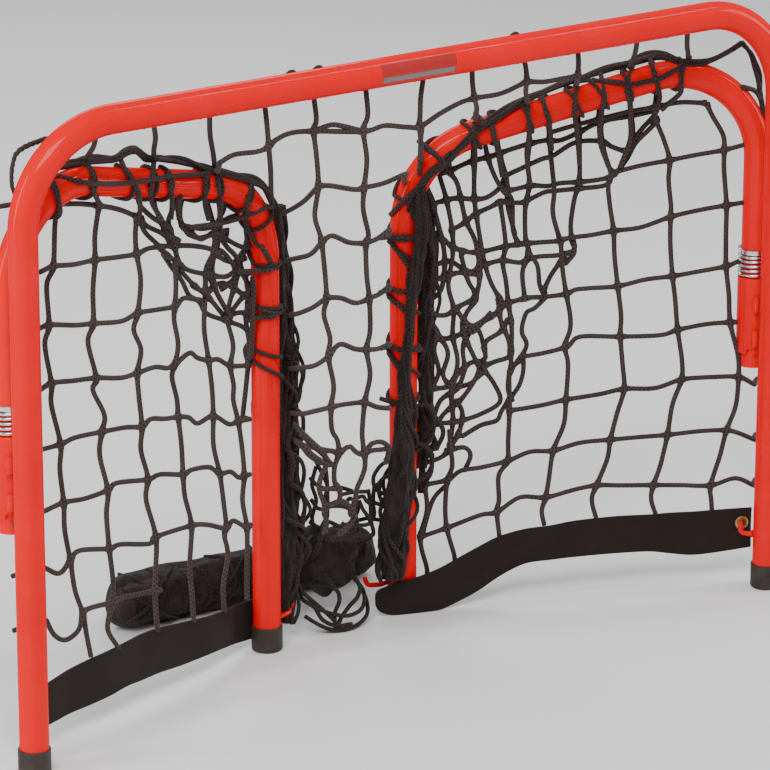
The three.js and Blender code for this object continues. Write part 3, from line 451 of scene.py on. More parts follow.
def band_look():
    look = material("skirt_webbing", (0.02, 0.013, 0.011), 0.88, Sheen_Weight=0.04, Sheen_Roughness=0.5,
                    Specular_IOR_Level=0.15)
    n = Nodes(look)
    u, v = n.run()
    warp = n.math("SINE", n.math("MULTIPLY", u, 2 * math.pi * 700))
    weft = n.math("SINE", n.math("MULTIPLY", v, 2 * math.pi * 90))
    weave = n.math("MULTIPLY", warp, weft)
    # Painted shade: the weave's low points take the darker colour
    color = n.mix(n.range(weave, -1, 1, 0, 1), (0.013, 0.008, 0.0065), (0.024, 0.0155, 0.0125))
    cloud = n.range(n.noise(22.0, 5.0, 0.65), 0.35, 0.75, 0.0, 0.5)
    n.into("Base Color", n.mix(cloud, color, (0.029, 0.02, 0.016)))
    n.into("Normal", n.bump(n.math("ADD", weave, n.noise(90.0, 4.0, 0.6)), 0.5, 0.0006))
    return look


def rubber_look():
    look = material("cap_rubber", (0.035, 0.027, 0.022), 0.6, Specular_IOR_Level=0.35)
    n = Nodes(look)
    spots = n.range(n.noise(45.0, 6.0, 0.7), 0.35, 0.75, 0.0, 1.0)
    n.into("Base Color", n.mix(spots, (0.026, 0.018, 0.0145), (0.05, 0.036, 0.029)))
    n.into("Roughness", n.range(n.noise(120.0, 4.0, 0.6), 0.3, 0.7, 0.5, 0.75))
    n.into("Normal", n.bump(n.noise(700.0, 4.0, 0.6), 0.25, 0.0005))
    return look


def metal_look(name, color, roughness, grain):
    look = material(name, color, roughness, 1.0)
    n = Nodes(look)
    n.into("Roughness", n.range(n.noise(grain, 5.0, 0.7), 0.3, 0.75, roughness * 0.7, roughness * 1.5))
    tone = n.range(n.noise(60.0, 4.0, 0.6), 0.35, 0.7, 0.0, 0.5)
    n.into("Base Color", n.mix(tone, color, tuple(c * 0.6 for c in color)))
    n.into("Normal", n.bump(n.noise(grain, 3.0, 0.6), 0.15, 0.0004))
    return look


def film_look(name, color, alpha):
    look = material(name, color, 0.32, Alpha=alpha, Coat_Weight=0.4)
    n = Nodes(look)
    n.into("Roughness", n.range(n.noise(70.0, 5.0, 0.7), 0.3, 0.7, 0.22, 0.5))
    n.into("Base Color", n.mix(n.noise(120.0, 4.0, 0.6), color, tuple(c * 0.7 for c in color)))
    return look


PAINT = paint_look()
NET = cord_look("net_cord", (0.02, 0.013, 0.012), (0.075, 0.052, 0.047), 3, 4.5, 0.35)
ROPE = cord_look("edge_rope", (0.016, 0.0105, 0.0095), (0.058, 0.04, 0.036), 4, 6.0, 0.35)
GATHERED = cord_look("gathered_net", (0.012, 0.008, 0.007), (0.042, 0.029, 0.026), 3, 4.5, 0.45)
FOLDED = folded_look()
BAND = band_look()
RUBBER = rubber_look()
SPRING = metal_look("zinc_wire", (0.72, 0.73, 0.75), 0.22, 500.0)
PIN = metal_look("blackened_pin", (0.13, 0.115, 0.105), 0.45, 400.0)
BRASS = metal_look("dull_brass", (0.5, 0.36, 0.13), 0.35, 400.0)

# Cords of the left wing's net, as pixels of the photograph that were picked
LEFT_COLUMNS = [
    [(58, 204), (55, 225), (52, 266), (46, 285), (50, 325), (47, 345), (53, 384), (52, 405), (60, 444),
     (60, 470), (64, 503), (65, 530), (70, 560), (74, 590), (82, 613), (86, 635), (91, 656)],
    [(100, 206), (96, 235), (96, 260), (93, 290), (92, 323), (86, 342), (95, 377), (92, 390), (104, 415),
     (102, 432), (100, 455), (108, 490), (107, 515), (111, 549), (115, 580), (114, 603), (108, 620),
     (108, 632), (117, 648)],
    [(138, 217), (136, 235), (136, 254), (139, 280), (137, 313), (133, 330), (140, 350), (136, 372),
     (137, 395), (141, 426), (141, 450), (149, 478), (148, 500), (157, 537), (155, 570), (155, 600),
     (158, 632)],
    [(176, 262), (177, 285), (175, 306), (174, 320), (178, 345), (176, 364), (173, 378), (178, 400),
     (179, 417), (181, 445), (181, 472), (183, 495), (190, 525), (190, 566), (192, 595), (194, 622)],
    [(208, 300), (207, 330), (210, 361), (212, 390), (213, 416), (213, 445), (219, 473), (222, 500),
     (224, 525), (222, 535), (226, 555), (224, 585), (226, 612)],
    [(228, 318), (235, 345), (232, 366), (234, 385), (233, 400), (237, 421), (241, 450), (244, 476),
     (243, 500), (247, 525), (247, 545), (246, 570), (247, 600)],
]
LEFT_ROWS = [
    [(40, 200), (58, 204), (80, 204), (100, 206), (120, 210), (138, 217)],
    [(38, 272), (52, 266), (75, 264), (96, 260), (118, 257), (136, 254), (148, 249), (162, 247)],
    [(38, 331), (50, 325), (75, 325), (92, 323), (120, 321), (137, 313), (155, 310), (175, 306),
     (185, 299), (202, 301)],
    [(38, 392), (53, 384), (75, 381), (95, 377), (118, 377), (136, 372), (155, 367), (168, 368),
     (176, 364), (190, 353), (198, 358), (210, 361), (220, 360), (232, 366), (248.5, 366)],
    [(40, 451), (60, 444), (75, 437), (102, 432), (125, 427), (141, 426), (150, 419), (165, 419),
     (179, 417), (190, 418), (198, 424), (213, 416), (228, 424), (237, 421), (249.5, 419)],
    [(42, 512), (64, 503), (85, 499), (108, 490), (118, 483), (149, 480), (160, 474), (181, 474),
     (190, 469), (208, 467), (219, 473), (230, 472), (238, 477), (244, 476), (250, 474)],
    [(42, 567), (57, 573), (70, 560), (80, 551), (111, 549), (122, 545), (150, 544), (157, 537),
     (190, 525), (205, 524), (224, 528), (232, 520), (247, 527), (252, 524)],
    [(46, 620), (55, 635), (66, 640), (78, 630), (82, 613), (90, 608), (114, 603), (124, 598), (140, 594),
     (160, 590)],
]
LEFT_TANGLE = [
    [(138, 217), (147, 232), (156, 243), (165, 255), (176, 262)],
    [(140, 196), (141, 206), (150, 217), (163, 224), (170, 230)],
    [(152, 196), (152, 207), (160, 222), (167, 236), (176, 250)],
    [(168, 196), (170, 208), (169, 222), (172, 236), (176, 262)],
    [(180, 196), (179, 210), (180, 225), (192, 236), (210, 233), (228, 230)],
    [(205, 196), (207, 212), (210, 232), (211, 255), (208, 275), (208, 300)],
    [(216, 196), (216, 222), (216, 245), (214, 262), (214, 285), (228, 318)],
    [(223, 196), (224, 210), (217, 228), (224, 245), (233, 258), (233, 280), (231, 300), (228, 318)],
    [(162, 247), (176, 246), (190, 245), (207, 248), (220, 258), (233, 262), (246, 258)],
    [(180, 225), (200, 227), (216, 222), (232, 216), (248, 214)],
    [(185, 230), (196, 238), (207, 236), (216, 232), (228, 241), (240, 247), (250, 244)],
    [(176, 262), (190, 270), (205, 274), (222, 276), (232, 270), (248, 273)],
    [(165, 255), (172, 268), (180, 280), (188, 295), (202, 301)],
    [(180, 270), (192, 285), (207, 296), (222, 312), (228, 320)],
    [(190, 284), (207, 292), (218, 284), (230, 286), (240, 294), (250, 303)],
    [(202, 301), (210, 314), (228, 322), (240, 327), (247, 338), (245, 350), (249, 362)],
    [(228, 318), (238, 312), (250, 316)],
    [(246, 200), (243, 225), (246, 245), (241, 262), (247, 290), (242, 320), (246, 345), (246.5, 380),
     (243, 417)],
    [(176, 240), (160, 232), (148, 226), (141, 218)],
    [(216, 285), (208, 268), (216, 250), (228, 262), (233, 276), (222, 290)],
    [(228, 318), (236, 300), (246, 288)],
]
# Cords of the right wing's net, as pixels in the same way
RIGHT_COLUMNS = [
    [(706, 103), (712, 115), (722, 135), (724, 150), (724, 170), (727, 206), (726, 235), (727, 267),
     (730, 295), (731, 324), (737, 355), (738, 376), (735, 405), (726, 430), (720, 455), (711, 485),
     (711, 500), (713, 520)],
    [(655, 105), (656, 120), (664, 140), (670, 160), (668, 180), (671, 205), (670, 217), (671, 245),
     (673, 276), (675, 300), (677, 329), (682, 360), (682, 380), (673, 405), (667, 435), (660, 465),
     (653, 485), (651, 500), (658, 520)],
    [(600, 110), (600, 140), (608, 165), (612, 173), (608, 185), (610, 205), (613, 230), (614, 255),
     (617, 285), (621, 315), (621, 336), (623, 365), (624, 389), (617, 415), (611, 440), (608, 460),
     (597, 486), (592, 500), (597, 520)],
    [(560, 240), (563, 270), (566, 294), (570, 315), (570, 330), (565, 346), (568, 365), (567, 400),
     (564, 425), (554, 451), (548, 480), (545, 497), (541, 510), (544, 525)],
    [(509, 370), (509, 410), (507, 440), (507, 460), (498, 475), (499, 500), (497, 512), (500, 537)],
    [(449, 430), (450, 445), (452, 465), (447, 480), (445, 505), (447, 528), (455, 557), (455, 563)],
    [(425, 485), (427, 510), (420, 538), (426.5, 566.5), (427, 575)],
]
RIGHT_ROWS = [
    [(706, 103), (680, 103), (657, 107), (630, 112), (605, 118), (575, 126), (550, 133)],
    [(746, 144), (724, 150), (695, 155), (670, 160), (640, 166), (612, 173)],
    [(744, 203), (727, 206), (700, 211), (670, 217), (640, 227), (613, 230), (590, 235), (571, 237),
     (560, 240)],
    [(742, 261), (727, 267), (700, 271), (673, 276), (645, 279), (617, 285), (590, 287), (575, 289),
     (566, 294), (545, 297)],
    [(750, 322), (730, 323), (705, 325), (677, 330), (660, 335), (621, 337), (580, 336), (567, 346),
     (545, 352), (522, 357)],
    [(754, 384), (738, 376), (710, 377), (682, 380), (655, 388), (624, 389), (600, 395), (567, 400),
     (540, 405), (509, 410)],
    [(754, 439), (740, 433), (726, 430), (700, 430), (667, 435), (640, 438), (611, 440), (580, 443),
     (554, 451), (530, 452), (507, 460), (480, 466), (460, 470), (447, 479), (425, 485)],
    [(754, 485), (735, 478), (711, 485), (680, 485), (653, 485), (620, 486), (597, 486), (575, 490),
     (545, 497), (520, 497), (497, 512), (480, 516), (447, 528), (420, 537)],
]
RIGHT_TANGLE = [
    [(450, 170), (470, 162), (490, 155), (510, 147), (527, 142), (545, 140), (560, 141), (575, 134),
     (600, 121), (630, 115), (655, 110)],
    [(437, 203), (455, 197), (470, 197), (485, 196), (500, 188), (505, 177), (520, 168), (540, 158),
     (552, 155), (575, 143), (600, 141), (612, 146), (625, 149), (632, 140), (645, 125), (656, 116)],
    [(500, 201), (520, 202), (530, 198), (545, 192), (555, 190), (575, 187), (600, 184), (609, 181)],
    [(505, 190), (530, 185), (548, 186), (560, 182), (580, 180), (605, 176), (617, 171), (628, 158),
     (636, 142), (648, 128), (656, 120)],
    [(450, 230), (462, 225), (475, 213), (490, 206), (498, 201)],
    [(422, 243), (440, 238), (452, 246), (470, 252), (485, 252), (500, 248), (520, 243), (545, 240),
     (560, 240)],
    [(480, 266), (500, 260), (520, 262), (535, 257), (560, 254), (573, 248), (571, 238)],
    [(422, 269), (440, 263), (452, 262), (470, 272), (480, 265)],
    [(424, 287), (440, 278), (460, 272), (478, 274)],
    [(545, 297), (530, 296), (515, 299), (505, 304), (498, 312), (485, 320), (470, 330)],
    [(443, 165), (455, 180), (461, 200), (466, 222), (475, 240), (479, 262), (478, 285), (473, 300)],
    [(473, 118), (473, 150), (474, 175), (473, 200), (480, 240), (484, 262), (492, 284), (502, 302)],
    [(481, 118), (486, 155), (495, 178), (503, 190), (512, 200), (514, 230), (518, 244)],
    [(493, 118), (497, 150), (505, 178), (508, 205), (515, 235)],
    [(527, 106), (528, 140), (528, 165), (529, 185), (524, 207), (524, 235), (528, 252), (523, 272),
     (524, 296)],
    [(546, 100), (550, 145), (552, 168), (552, 190), (551, 212), (559, 240)],
    [(575, 90), (578, 125), (578, 150), (578, 180), (573, 200), (570, 225), (571, 240), (573, 250),
     (565, 262)],
    [(600, 90), (600, 120), (602, 145), (611, 173)],
    [(630, 82), (630, 105), (633, 125), (632, 142), (625, 149)],
    [(657, 80), (655, 108)],
    [(500, 203), (503, 225), (505, 245), (503, 262), (506, 282), (508, 302), (511, 325), (510, 345),
     (510, 370)],
    [(528, 252), (536, 265), (540, 285), (545, 296), (535, 307), (525, 312), (521, 330), (527, 344),
     (522, 357)],
    [(563, 256), (551, 275), (543, 292)],
    [(440, 175), (446, 200), (451, 230), (452, 255), (449, 285), (454, 310), (452, 335), (456, 360),
     (450, 390), (452, 420), (449, 445)],
    [(420, 175), (432, 205), (440, 235), (445, 262), (442, 290), (430, 300), (431, 312), (445, 314),
     (462, 305), (475, 300)],
    [(460, 255), (468, 280), (476, 298), (466, 315), (462, 330), (470, 350), (478, 365)],
    [(425, 287), (427, 310), (436, 330), (446, 350), (441, 372), (452, 385), (470, 383), (482, 370)],
    [(498, 300), (500, 320), (508, 340), (508, 355), (495, 362), (480, 367)],
    [(484, 356), (484, 341), (500, 331), (508, 320)],
    [(522, 357), (522, 370), (518, 385), (508, 398), (499, 408), (494, 418), (480, 424), (462, 436)],
    [(482, 368), (494, 383), (498, 400), (478, 412), (455, 420), (436, 424), (418, 430)],
    [(480, 370), (470, 384), (458, 398), (444, 412), (436, 425)],
    [(510, 398), (506, 386), (510, 370), (520, 360)],
    [(418, 345), (432, 340), (450, 338), (466, 330), (482, 318), (490, 312)],
    [(416, 395), (430, 388), (446, 384), (456, 372), (470, 362), (484, 362)],
    [(445, 450), (462, 445), (468, 453), (463, 469)],
    [(422, 462), (440, 456), (450, 448)],
    [(447, 482), (434, 498), (426, 518), (420, 536)],
    [(432, 455), (430, 472), (420, 486)],
    [(421, 300), (430, 318), (424, 338), (430, 362), (422, 384), (430, 404), (424, 426), (434, 440),
     (424, 460)],
    [(436, 330), (434, 350), (438, 372), (430, 392), (432, 412), (442, 430), (436, 448)],
    [(455, 400), (462, 412), (458, 430), (448, 446)],
    [(470, 330), (462, 346), (462, 366), (456, 386), (440, 400), (432, 420)],
    [(456, 310), (466, 322), (478, 330), (484, 345)],
]
# Cords of the hanging net, as (across, back, height), or as a pixel where a point has two values
HANGING_COLUMNS = [
    [(314, 96), (-113, 9, 579), (314, 131), (-113, 9, 544), (318, 186), (315, 215), (320, 235),
     (322, 245), (325, 270), (-102, 9, 403), (-105, 9, 387), (330, 338), (-100, 9, 344), (-94, 9, 314),
     (331, 407), (332, 430), (337, 440), (339, 453), (335, 467), (335, 482), (340, 491), (-88, 9, 197),
     (333, 504), (-103, 9, 193), (-105, 9, 186), (-102, 9, 178), (-105, 9, 166)],
    [(-57, 9, 598), (368, 115), (363, 131), (-56, 9, 531), (-59, 9, 504), (-60, 9, 483), (-54, 9, 457),
     (366, 243), (367, 275), (369, 298), (370, 330), (-56, 9, 343), (370, 375), (365, 402), (362, 430),
     (363, 445), (365, 457), (365, 468), (361, 479), (357, 488), (355, 499), (352, 510), (-71, 9, 176),
     (-78, 9, 168), (-88, 9, 162)],
]
HANGING_ROWS = [
    [(314, 131), (-97, 9, 571), (345, 127), (363, 132)],
    [(318, 186), (-97, 9, 512), (-70, 9, 504), (-59, 9, 504)],
    [(321, 243), (332, 236), (-76, 9, 453), (366, 243)],
    [(-102, 9, 403), (-86, 9, 400), (355, 303), (369, 299)],
    [(-100, 9, 344), (340, 344), (355, 349), (-56, 9, 343)],
    [(331, 407), (-84, 9, 293), (365, 402)],
    [(322, 452), (331, 451), (339, 453), (345, 449), (350, 447), (356, 452), (362, 454), (372, 451),
     (380, 450), (389, 449)],
    [(-58, 9, 238), (-55, 9, 242), (372, 444), (380, 442), (386, 444), (390, 448)],
    [(-100, 9, 236), (325, 468), (321, 478), (319, 488), (322, 497), (-103, 9, 193)],
    [(-109, 9, 213), (329, 489), (-90, 9, 210)],
    [(-103, 9, 193), (-96, 9, 195), (-87, 9, 196), (-80, 9, 193), (-75, 9, 186), (-73, 9, 178)],
]
# Two of its stretches where cords are drawn together
THICK = [
    [(-138, 10, 284), (-130, 9, 273), (309, 441), (316, 447), (322, 453), (327, 459), (-96, 9, 235)],
    [(-136, 10, 266), (-128, 9, 258), (309, 454), (316, 459), (324, 463), (-96, 9, 234)],
]
# The row under the crossbar, and the cords that hang it from the rope
EDGE_ROW = [
    (220, 163), (-204, 9, 559), (256, 152), (267, 148), (276, 140), (-142, 9, 570), (314, 131),
    (363, 132), (-36, 9, 561), (405, 127), (5, 9, 554), (28, 9, 563), (460, 103), (474, 98), (98, 9, 572),
    (121, 9, 577), (527, 82), (545, 82), (560, 79), (578, 76),
]
DROPS = [
    [(-168, 13, 603), (-167, 11, 585), (268, 135), (-166, 9, 560)],
    [(12, 13, 603), (7, 11, 582), (5, 9, 566), (419, 127)],
    [(68, 13, 603), (67, 11, 588), (474, 98)],
    [(128, 13, 603), (130, 11, 592), (527, 82)],
    [(193, 13, 603), (193, 11, 590), (578, 76)],
]
# Cords that cross the front of a wing's tube and tie into its net, as (along the wing, back, height), or
# as a pixel where a point has two values
STRAPS = {
    "left": [
        [(58, 2, 563), (55, 186), (59, 205), (60, 214), (64, -3, 516)],
        [(68, 0, 556), (87, -16, 548), (112, -17, 541), (139, -17, 535), (182, -16, 529), (220, -14, 524),
         (266, -11, 515)],
        [(113, 3, 560), (93, 176), (92, 188), (96, 198), (101, 206)],
        [(121, 160), (127, 174), (137, 189), (140, 210), (136, 219)],
        [(209, 2, 540), (152, 180), (151, 190), (152, 202), (162, 220)],
        [(167, 172), (171, 190), (172, 205), (171, 220)],
        [(230, -12, 502), (178, 205), (179, 220)],
        [(214, 168), (206, 176), (205, 190), (205, 205), (209, 220)],
        [(214, 168), (218, 184), (220, 200), (221, 220)],
        [(250, 183), (248, 203), (246, 222)],
        [(366, -12, 460), (267, 208), (248, 215), (225, 222), (190, 227)],
        [(248, 195), (246, 221), (352, -3, 425), (262, 247), (271, 261), (372, -12, 396)],
        [(236, 272), (350, -8, 399), (360, -14, 399), (374, -12, 402)],
        [(343, -5, 394), (344, -6, 380), (343, -5, 363), (343, -4, 330), (346, 0, 309)],
        [(340, -2, 350), (353, -7, 351), (362, -15, 351), (376, -10, 353)],
        [(353, -5, 360), (266, 311), (366, -15, 354), (378, -10, 350)],
    ],
    "right": [
        [(352, -8, 507), (354, -10, 492), (419, 175)],
        [(300, -13, 511), (301, -15, 500), (474, 143), (475, 155), (474, 180)],
        [(244, -5, 527), (245, -15, 512), (244, -14, 500), (528, 141), (527, 155), (530, 185)],
        [(190, 5, 541), (575, 100), (575, 115), (577, 135), (580, 165)],
        [(633, 66), (627, 88), (138, -9, 517), (136, -3, 500), (630, 140), (620, 167)],
        [(73, 3, 559), (682, 73), (682, 87), (678, 95), (660, 110)],
        [(226, 5, 532), (546, 113), (549, 123), (552, 150)],
        [(600, 72), (605, 96), (168, -10, 511), (600, 142), (610, 170)],
        [(650, 58), (655, 76), (660, 96), (655, 113)],
        [(284, -13, 512), (494, 139), (497, 146), (502, 177)],
        [(352, 6, 490), (343, -11, 484), (440, 160)],
        [(295, 4, 516), (485, 125)],
        [(742, 87), (6, -4, 521), (0, -6, 511)],
        [(110, -12, 543), (86, -12, 553)],
        [(383, -4, 419), (377, -11, 429), (368, -15, 440), (360, -14, 446)],
        [(380, 238), (383, -6, 397), (372, -16, 399), (350, -12, 394)],
        [(385, -4, 393), (377, -13, 383), (366, -16, 366)],
        [(380, 293), (383, -6, 342), (375, -14, 342), (356, -14, 341)],
        [(385, -4, 335), (377, -13, 329), (366, -16, 317)],
        [(380, 348), (383, -6, 283), (375, -14, 281), (352, -12, 279)],
        [(385, -4, 277), (379, -12, 266), (368, -15, 252)],
        [(391, 3, 226), (381, -8, 225), (367, -16, 226)],
    ],
}
# Where the lacing passes the inner and then the outer side of the tube's front, as (along the wing, height)
STATIONS = {
    "left": [((56, 520), (59, 549)), ((104, 530), (110, 556)), ((166, 520), (155, 545)), ((190, 505),
    (196, 535)),
             ((214, 505), (214, 530)), ((262, 492), (270, 520)), ((290, 485), (284, 510)), ((330, 468),
              (333, 495)),
             ((345, 440), (372, 462)), ((354, 404), (382, 399)), ((354, 362), (382, 355)), ((354, 351),
              (382, 351)),
             ((354, 316), (382, 300)), ((354, 303), (382, 276))],
    "right": [((87, 520), (87, 556)), ((107, 520), (114, 550)), ((138, 515), (142, 548)),
              ((168, 508), (166, 540)), ((196, 502), (192, 535)), ((222, 498), (227, 528)), ((244, 492),
               (244, 524)),
              ((276, 485), (284, 515)), ((300, 480), (298, 510)), ((335, 468), (345, 495)), ((357, 430),
               (383, 440)),
              ((382, 395), (354, 396)), ((382, 393), (354, 362)), ((382, 342), (354, 341)), ((382, 335),
               (354, 312)),
              ((382, 283), (354, 280)), ((382, 277), (354, 248)), ((382, 226), (354, 226))],
}
# The gathered edge along the wing's tube: its places, its radii there, and how many cords it has
EDGES = {
    "left": [
        ([(40, 8, 556), (58, 7, 561), (77, 7, 560), (113, 4, 559), (140, 3, 554), (155, 3, 552),
          (168, 1, 556), (180, 0, 555),
          (192, 1, 546), (204, 2, 541), (232, 2, 535), (270, -6, 520), (308, -12, 504), (332, -12, 494),
          (355, -10, 481),
          (368, -10, 462), (378, -8, 446), (386, -6, 425), (391, -2, 400), (393, 0, 360), (394, 2, 300),
          (394, 3, 230),
          (393, 3, 167), (393, 3, 110)],
         (3.2, 3.4, 4.0, 4.6, 4.8, 4.4, 4.4, 4.0, 4.4, 4.6, 4.2, 4.0, 4.2, 4.6, 5.0, 5.0, 4.6, 4.4,
          4.0, 4.0, 4.0, 4.0), 6),
    ],
    "right": [
        ([(21, -3, 572), (36, -3, 563), (58, -4, 555), (85, -6, 556), (99, 3, 561), (113, 7, 561),
          (135, 6, 556),
          (158, 6, 551), (186, 6, 543), (217, 6, 534), (257, -6, 522), (294, -13, 505), (325, -14, 476),
          (351, -15, 456),
          (362, -13, 434), (361, -6, 405), (353, 8, 370), (348, 10, 330), (346, 10, 250), (346, 10, 180),
          (346, 8, 120)],
         (3.0, 3.2, 4.6, 5.0, 4.0, 3.4, 3.4, 4.2, 5.6, 5.6, 4.8, 5.2, 6.0, 5.6, 6.0, 6.4, 5.0,
          4.0, 4.0, 4.0, 4.0), 7),
        ([(86, -12, 554), (100, -15, 547), (113, -15, 542), (126, -16, 541), (139, -16, 540),
          (160, -9, 543), (176, 3, 542),
          (190, 6, 541)], (3.0, 2.6, 2.6, 3.0), 2),
        ([(21, -3, 572), (12, -3, 561), (8, -3, 550), (3, -3, 535), (0, -3, 519), (-2, -6, 503),
          (-4, -6, 490)],
         (2.6, 3.4, 4.4, 4.0, 2.8, 1.6), 4),
    ],
}
# Gathered net beside the rear legs
LEFT_FOLD = [(396, 4, 452), (399, 5, 416), (400, 6, 390), (404, 6, 338), (408, 6, 283), (410, 6, 253),
             (410, 6, 222),
             (410, 7, 190), (410, 8, 150), (410, 8, 110), (410, 8, 75), (408, 8, 40), (404, 8, 16)]
LEFT_FOLD_RADII = (6, 7.5, 9, 10.5, 12, 13, 13, 14, 15, 15, 15, 14, 11)
LEFT_LOOPS = [
    [(398, -2, 300), (408, -8, 288), (418, -6, 276), (420, -2, 262), (414, -4, 250), (402, -6, 246)],
    [(404, -4, 246), (414, -8, 236), (419, -6, 224), (414, -8, 210), (404, -6, 200)],
    [(392, -4, 205), (402, -10, 196), (412, -10, 186), (420, -6, 172), (419, -4, 158), (408, -8, 148)],
    [(394, -6, 170), (406, -12, 160), (416, -10, 146), (420, -6, 130), (412, -10, 118)],
    [(392, -6, 132), (400, -12, 126), (410, -12, 120), (420, -6, 112)],
    [(396, -8, 222), (390, -10, 208), (396, -12, 190), (392, -10, 172)],
]
RIGHT_FOLD = [(356, -17, 448), (355, -19, 420), (357, -19, 390), (363, -19, 350), (367, -20, 310),
              (370, -20, 270),
              (372, -20, 230), (373, -20, 195), (374, -19, 160), (377, -20, 130), (381, -22, 100),
              (383, -22, 68), (385, -20, 42)]
RIGHT_FOLD_RADII = (7, 7, 6.5, 5.5, 5.5, 5.5, 7, 10, 13.5, 16, 16.5, 17, 14)
RIGHT_BUNCH = [(347, 8, 446), (345, 8, 425), (342, 9, 395), (341, 9, 360), (343, 9, 320), (344, 9, 282),
               (342, 9, 240),
               (343, 9, 200), (347, 8, 166), (350, 7, 148)]
RIGHT_BUNCH_RADII = (7, 10, 13, 12, 9, 8.5, 9, 9.5, 10, 7)
RIGHT_LOOPS = [
    [(384, -14, 166), (392, -12, 162), (398, -12, 156), (402, -12, 148), (401, -12, 139), (396, -12, 142),
     (391, -12, 147), (382, -14, 149)],
    [(401, -12, 139), (396, -12, 132), (387, -13, 129), (379, -15, 127)],
    [(402, -12, 122), (394, -12, 118), (387, -13, 114), (378, -15, 109)],
    [(402, -12, 104), (395, -12, 102), (388, -13, 103), (378, -15, 100)],
    [(401, -12, 139), (402, -12, 128), (402, -12, 119), (401, -12, 111), (402, -12, 103)],
    [(395, -12, 142), (396, -12, 130), (393, -12, 120), (395, -12, 111), (393, -12, 102)],
    [(387, -13, 130), (391, -12, 124), (389, -12, 116), (387, -13, 107)],
    [(376, -16, 215), (352, -14, 222), (342, -10, 214), (338, -8, 196), (344, -10, 180), (362, -14, 172)],
    [(370, -16, 186), (350, -14, 178), (340, -10, 162), (346, -10, 146), (364, -15, 138)],
]
# The net's tail between the hanging meshes and the roll
TAIL_CORDS = [
    [(-8, 152, 176), (-7, 150, 160), (-7, 149, 133), (-8, 149, 120), (-12, 150, 108), (-14, 154, 92),
     (-10, 168, 76), (-4, 184, 62)],
    [(-7, 150, 131), (1, 149, 131), (11, 147, 129), (19, 146, 124), (24, 146, 116)],
    [(27, 147, 133), (23, 145, 122), (25, 144, 111), (21, 143, 103), (10, 143, 99), (0, 144, 98)],
    [(8, 148, 142), (24, 147, 142), (34, 148, 140), (44, 152, 137)],
    [(20, 146, 134), (33, 146, 136), (38, 147, 130), (46, 151, 124)],
    [(29, 146, 132), (33, 145, 122), (38, 145, 115), (44, 148, 106)],
    [(-2, 146, 112), (12, 143, 108), (25, 142, 108), (34, 143, 106), (46, 149, 104)],
    [(-10, 146, 98), (10, 141, 97), (23, 140, 99), (34, 141, 94), (48, 148, 92)],
    [(44, 152, 139), (46, 151, 124), (45, 148, 106), (48, 149, 92), (50, 168, 78), (44, 196, 62)],
    [(0, 164, 54), (-2, 148, 47), (1, 142, 41), (2, 142, 31), (-4, 141, 20), (-2, 142, 4)],
    [(32, 172, 48), (29, 146, 42), (21, 137, 34), (11, 137, 26), (2, 139, 14), (0, 141, 4)],
    [(-33, 150, 36), (-22, 143, 28), (-5, 139, 20), (11, 137, 16), (28, 139, 20), (38, 152, 32),
     (36, 176, 46)],
    [(-33, 152, 20), (-23, 144, 12), (-13, 140, 6), (-2, 137, 3), (10, 135, 3), (24, 137, 5),
     (38, 144, 12), (44, 160, 26), (42, 184, 46)],
    [(-19, 162, 189), (-13, 160, 177), (-6, 160, 163), (0, 160, 149), (-3, 160, 135), (0, 160, 120),
     (-6, 164, 104),
     (-14, 174, 86)],
    [(-19, 162, 161), (-10, 162, 151), (1, 162, 146), (13, 158, 146), (24, 150, 142)],
    [(-18, 162, 138), (-10, 162, 127), (0, 162, 125), (8, 160, 128), (20, 150, 126)],
    [(-12, 162, 172), (-17, 162, 154), (-12, 162, 136), (-17, 162, 118), (-10, 166, 100), (-4, 180, 84)],
    [(-20, 162, 115), (-9, 160, 107), (1, 160, 111), (15, 158, 104), (30, 160, 105), (44, 154, 108)],
    [(21, 160, 123), (30, 164, 129), (40, 164, 117), (35, 164, 105), (45, 172, 92), (42, 190, 76)],
    [(-26, 182, 52), (-33, 160, 46), (-28, 149, 38), (-15, 142, 24), (-3, 138, 10), (4, 136, 3)],
    [(-22, 184, 44), (-31, 160, 36), (-25, 147, 30), (-18, 142, 16), (-4, 138, 8), (14, 137, 6)],
]

# Camera, with its sensor and focal length in millimetres
SENSOR = 36
LENS = 220.35
camera = bpy.data.objects.new("camera", bpy.data.cameras.new("camera"))
bpy.context.scene.collection.objects.link(camera)
camera.data.sensor_width = SENSOR
camera.data.lens = LENS
camera.data.clip_start = 0.1
camera.data.clip_end = 50
right = Vector(RIGHTWARD)
down = Vector(DOWNWARD)
turn = Matrix((right, -down, -right.cross(down))).transposed()
camera.matrix_world = Matrix.Translation(Vector(metres(EYE))) @ turn.to_4x4()
bpy.context.scene.camera = camera


# Tubes
def wing_flat(bottom, end, step=3.0):
    """The wing's centre line in its own plane."""
    return smooth_steps(bent([at(0, 0, bottom), at(0, 0, WING_FRONT), at(WING_LENGTH, 0, WING_REAR),
                              at(WING_LENGTH, 0, end)], WING_BENDS), step)


def smooth_steps(points, step):
    """The same run in even steps."""
    return along(points, np.arange(0, lengths(points)[-1], step))[0]


def wing_run(side, bottom, end):
    return np.array([on_wing(side, p[0], 0, p[2]) for p in wing_flat(bottom, end)])


def declare(piece, body, node):
    """The body that a piece rides on, and the node that it replaces."""
    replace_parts(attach(piece, body), node)


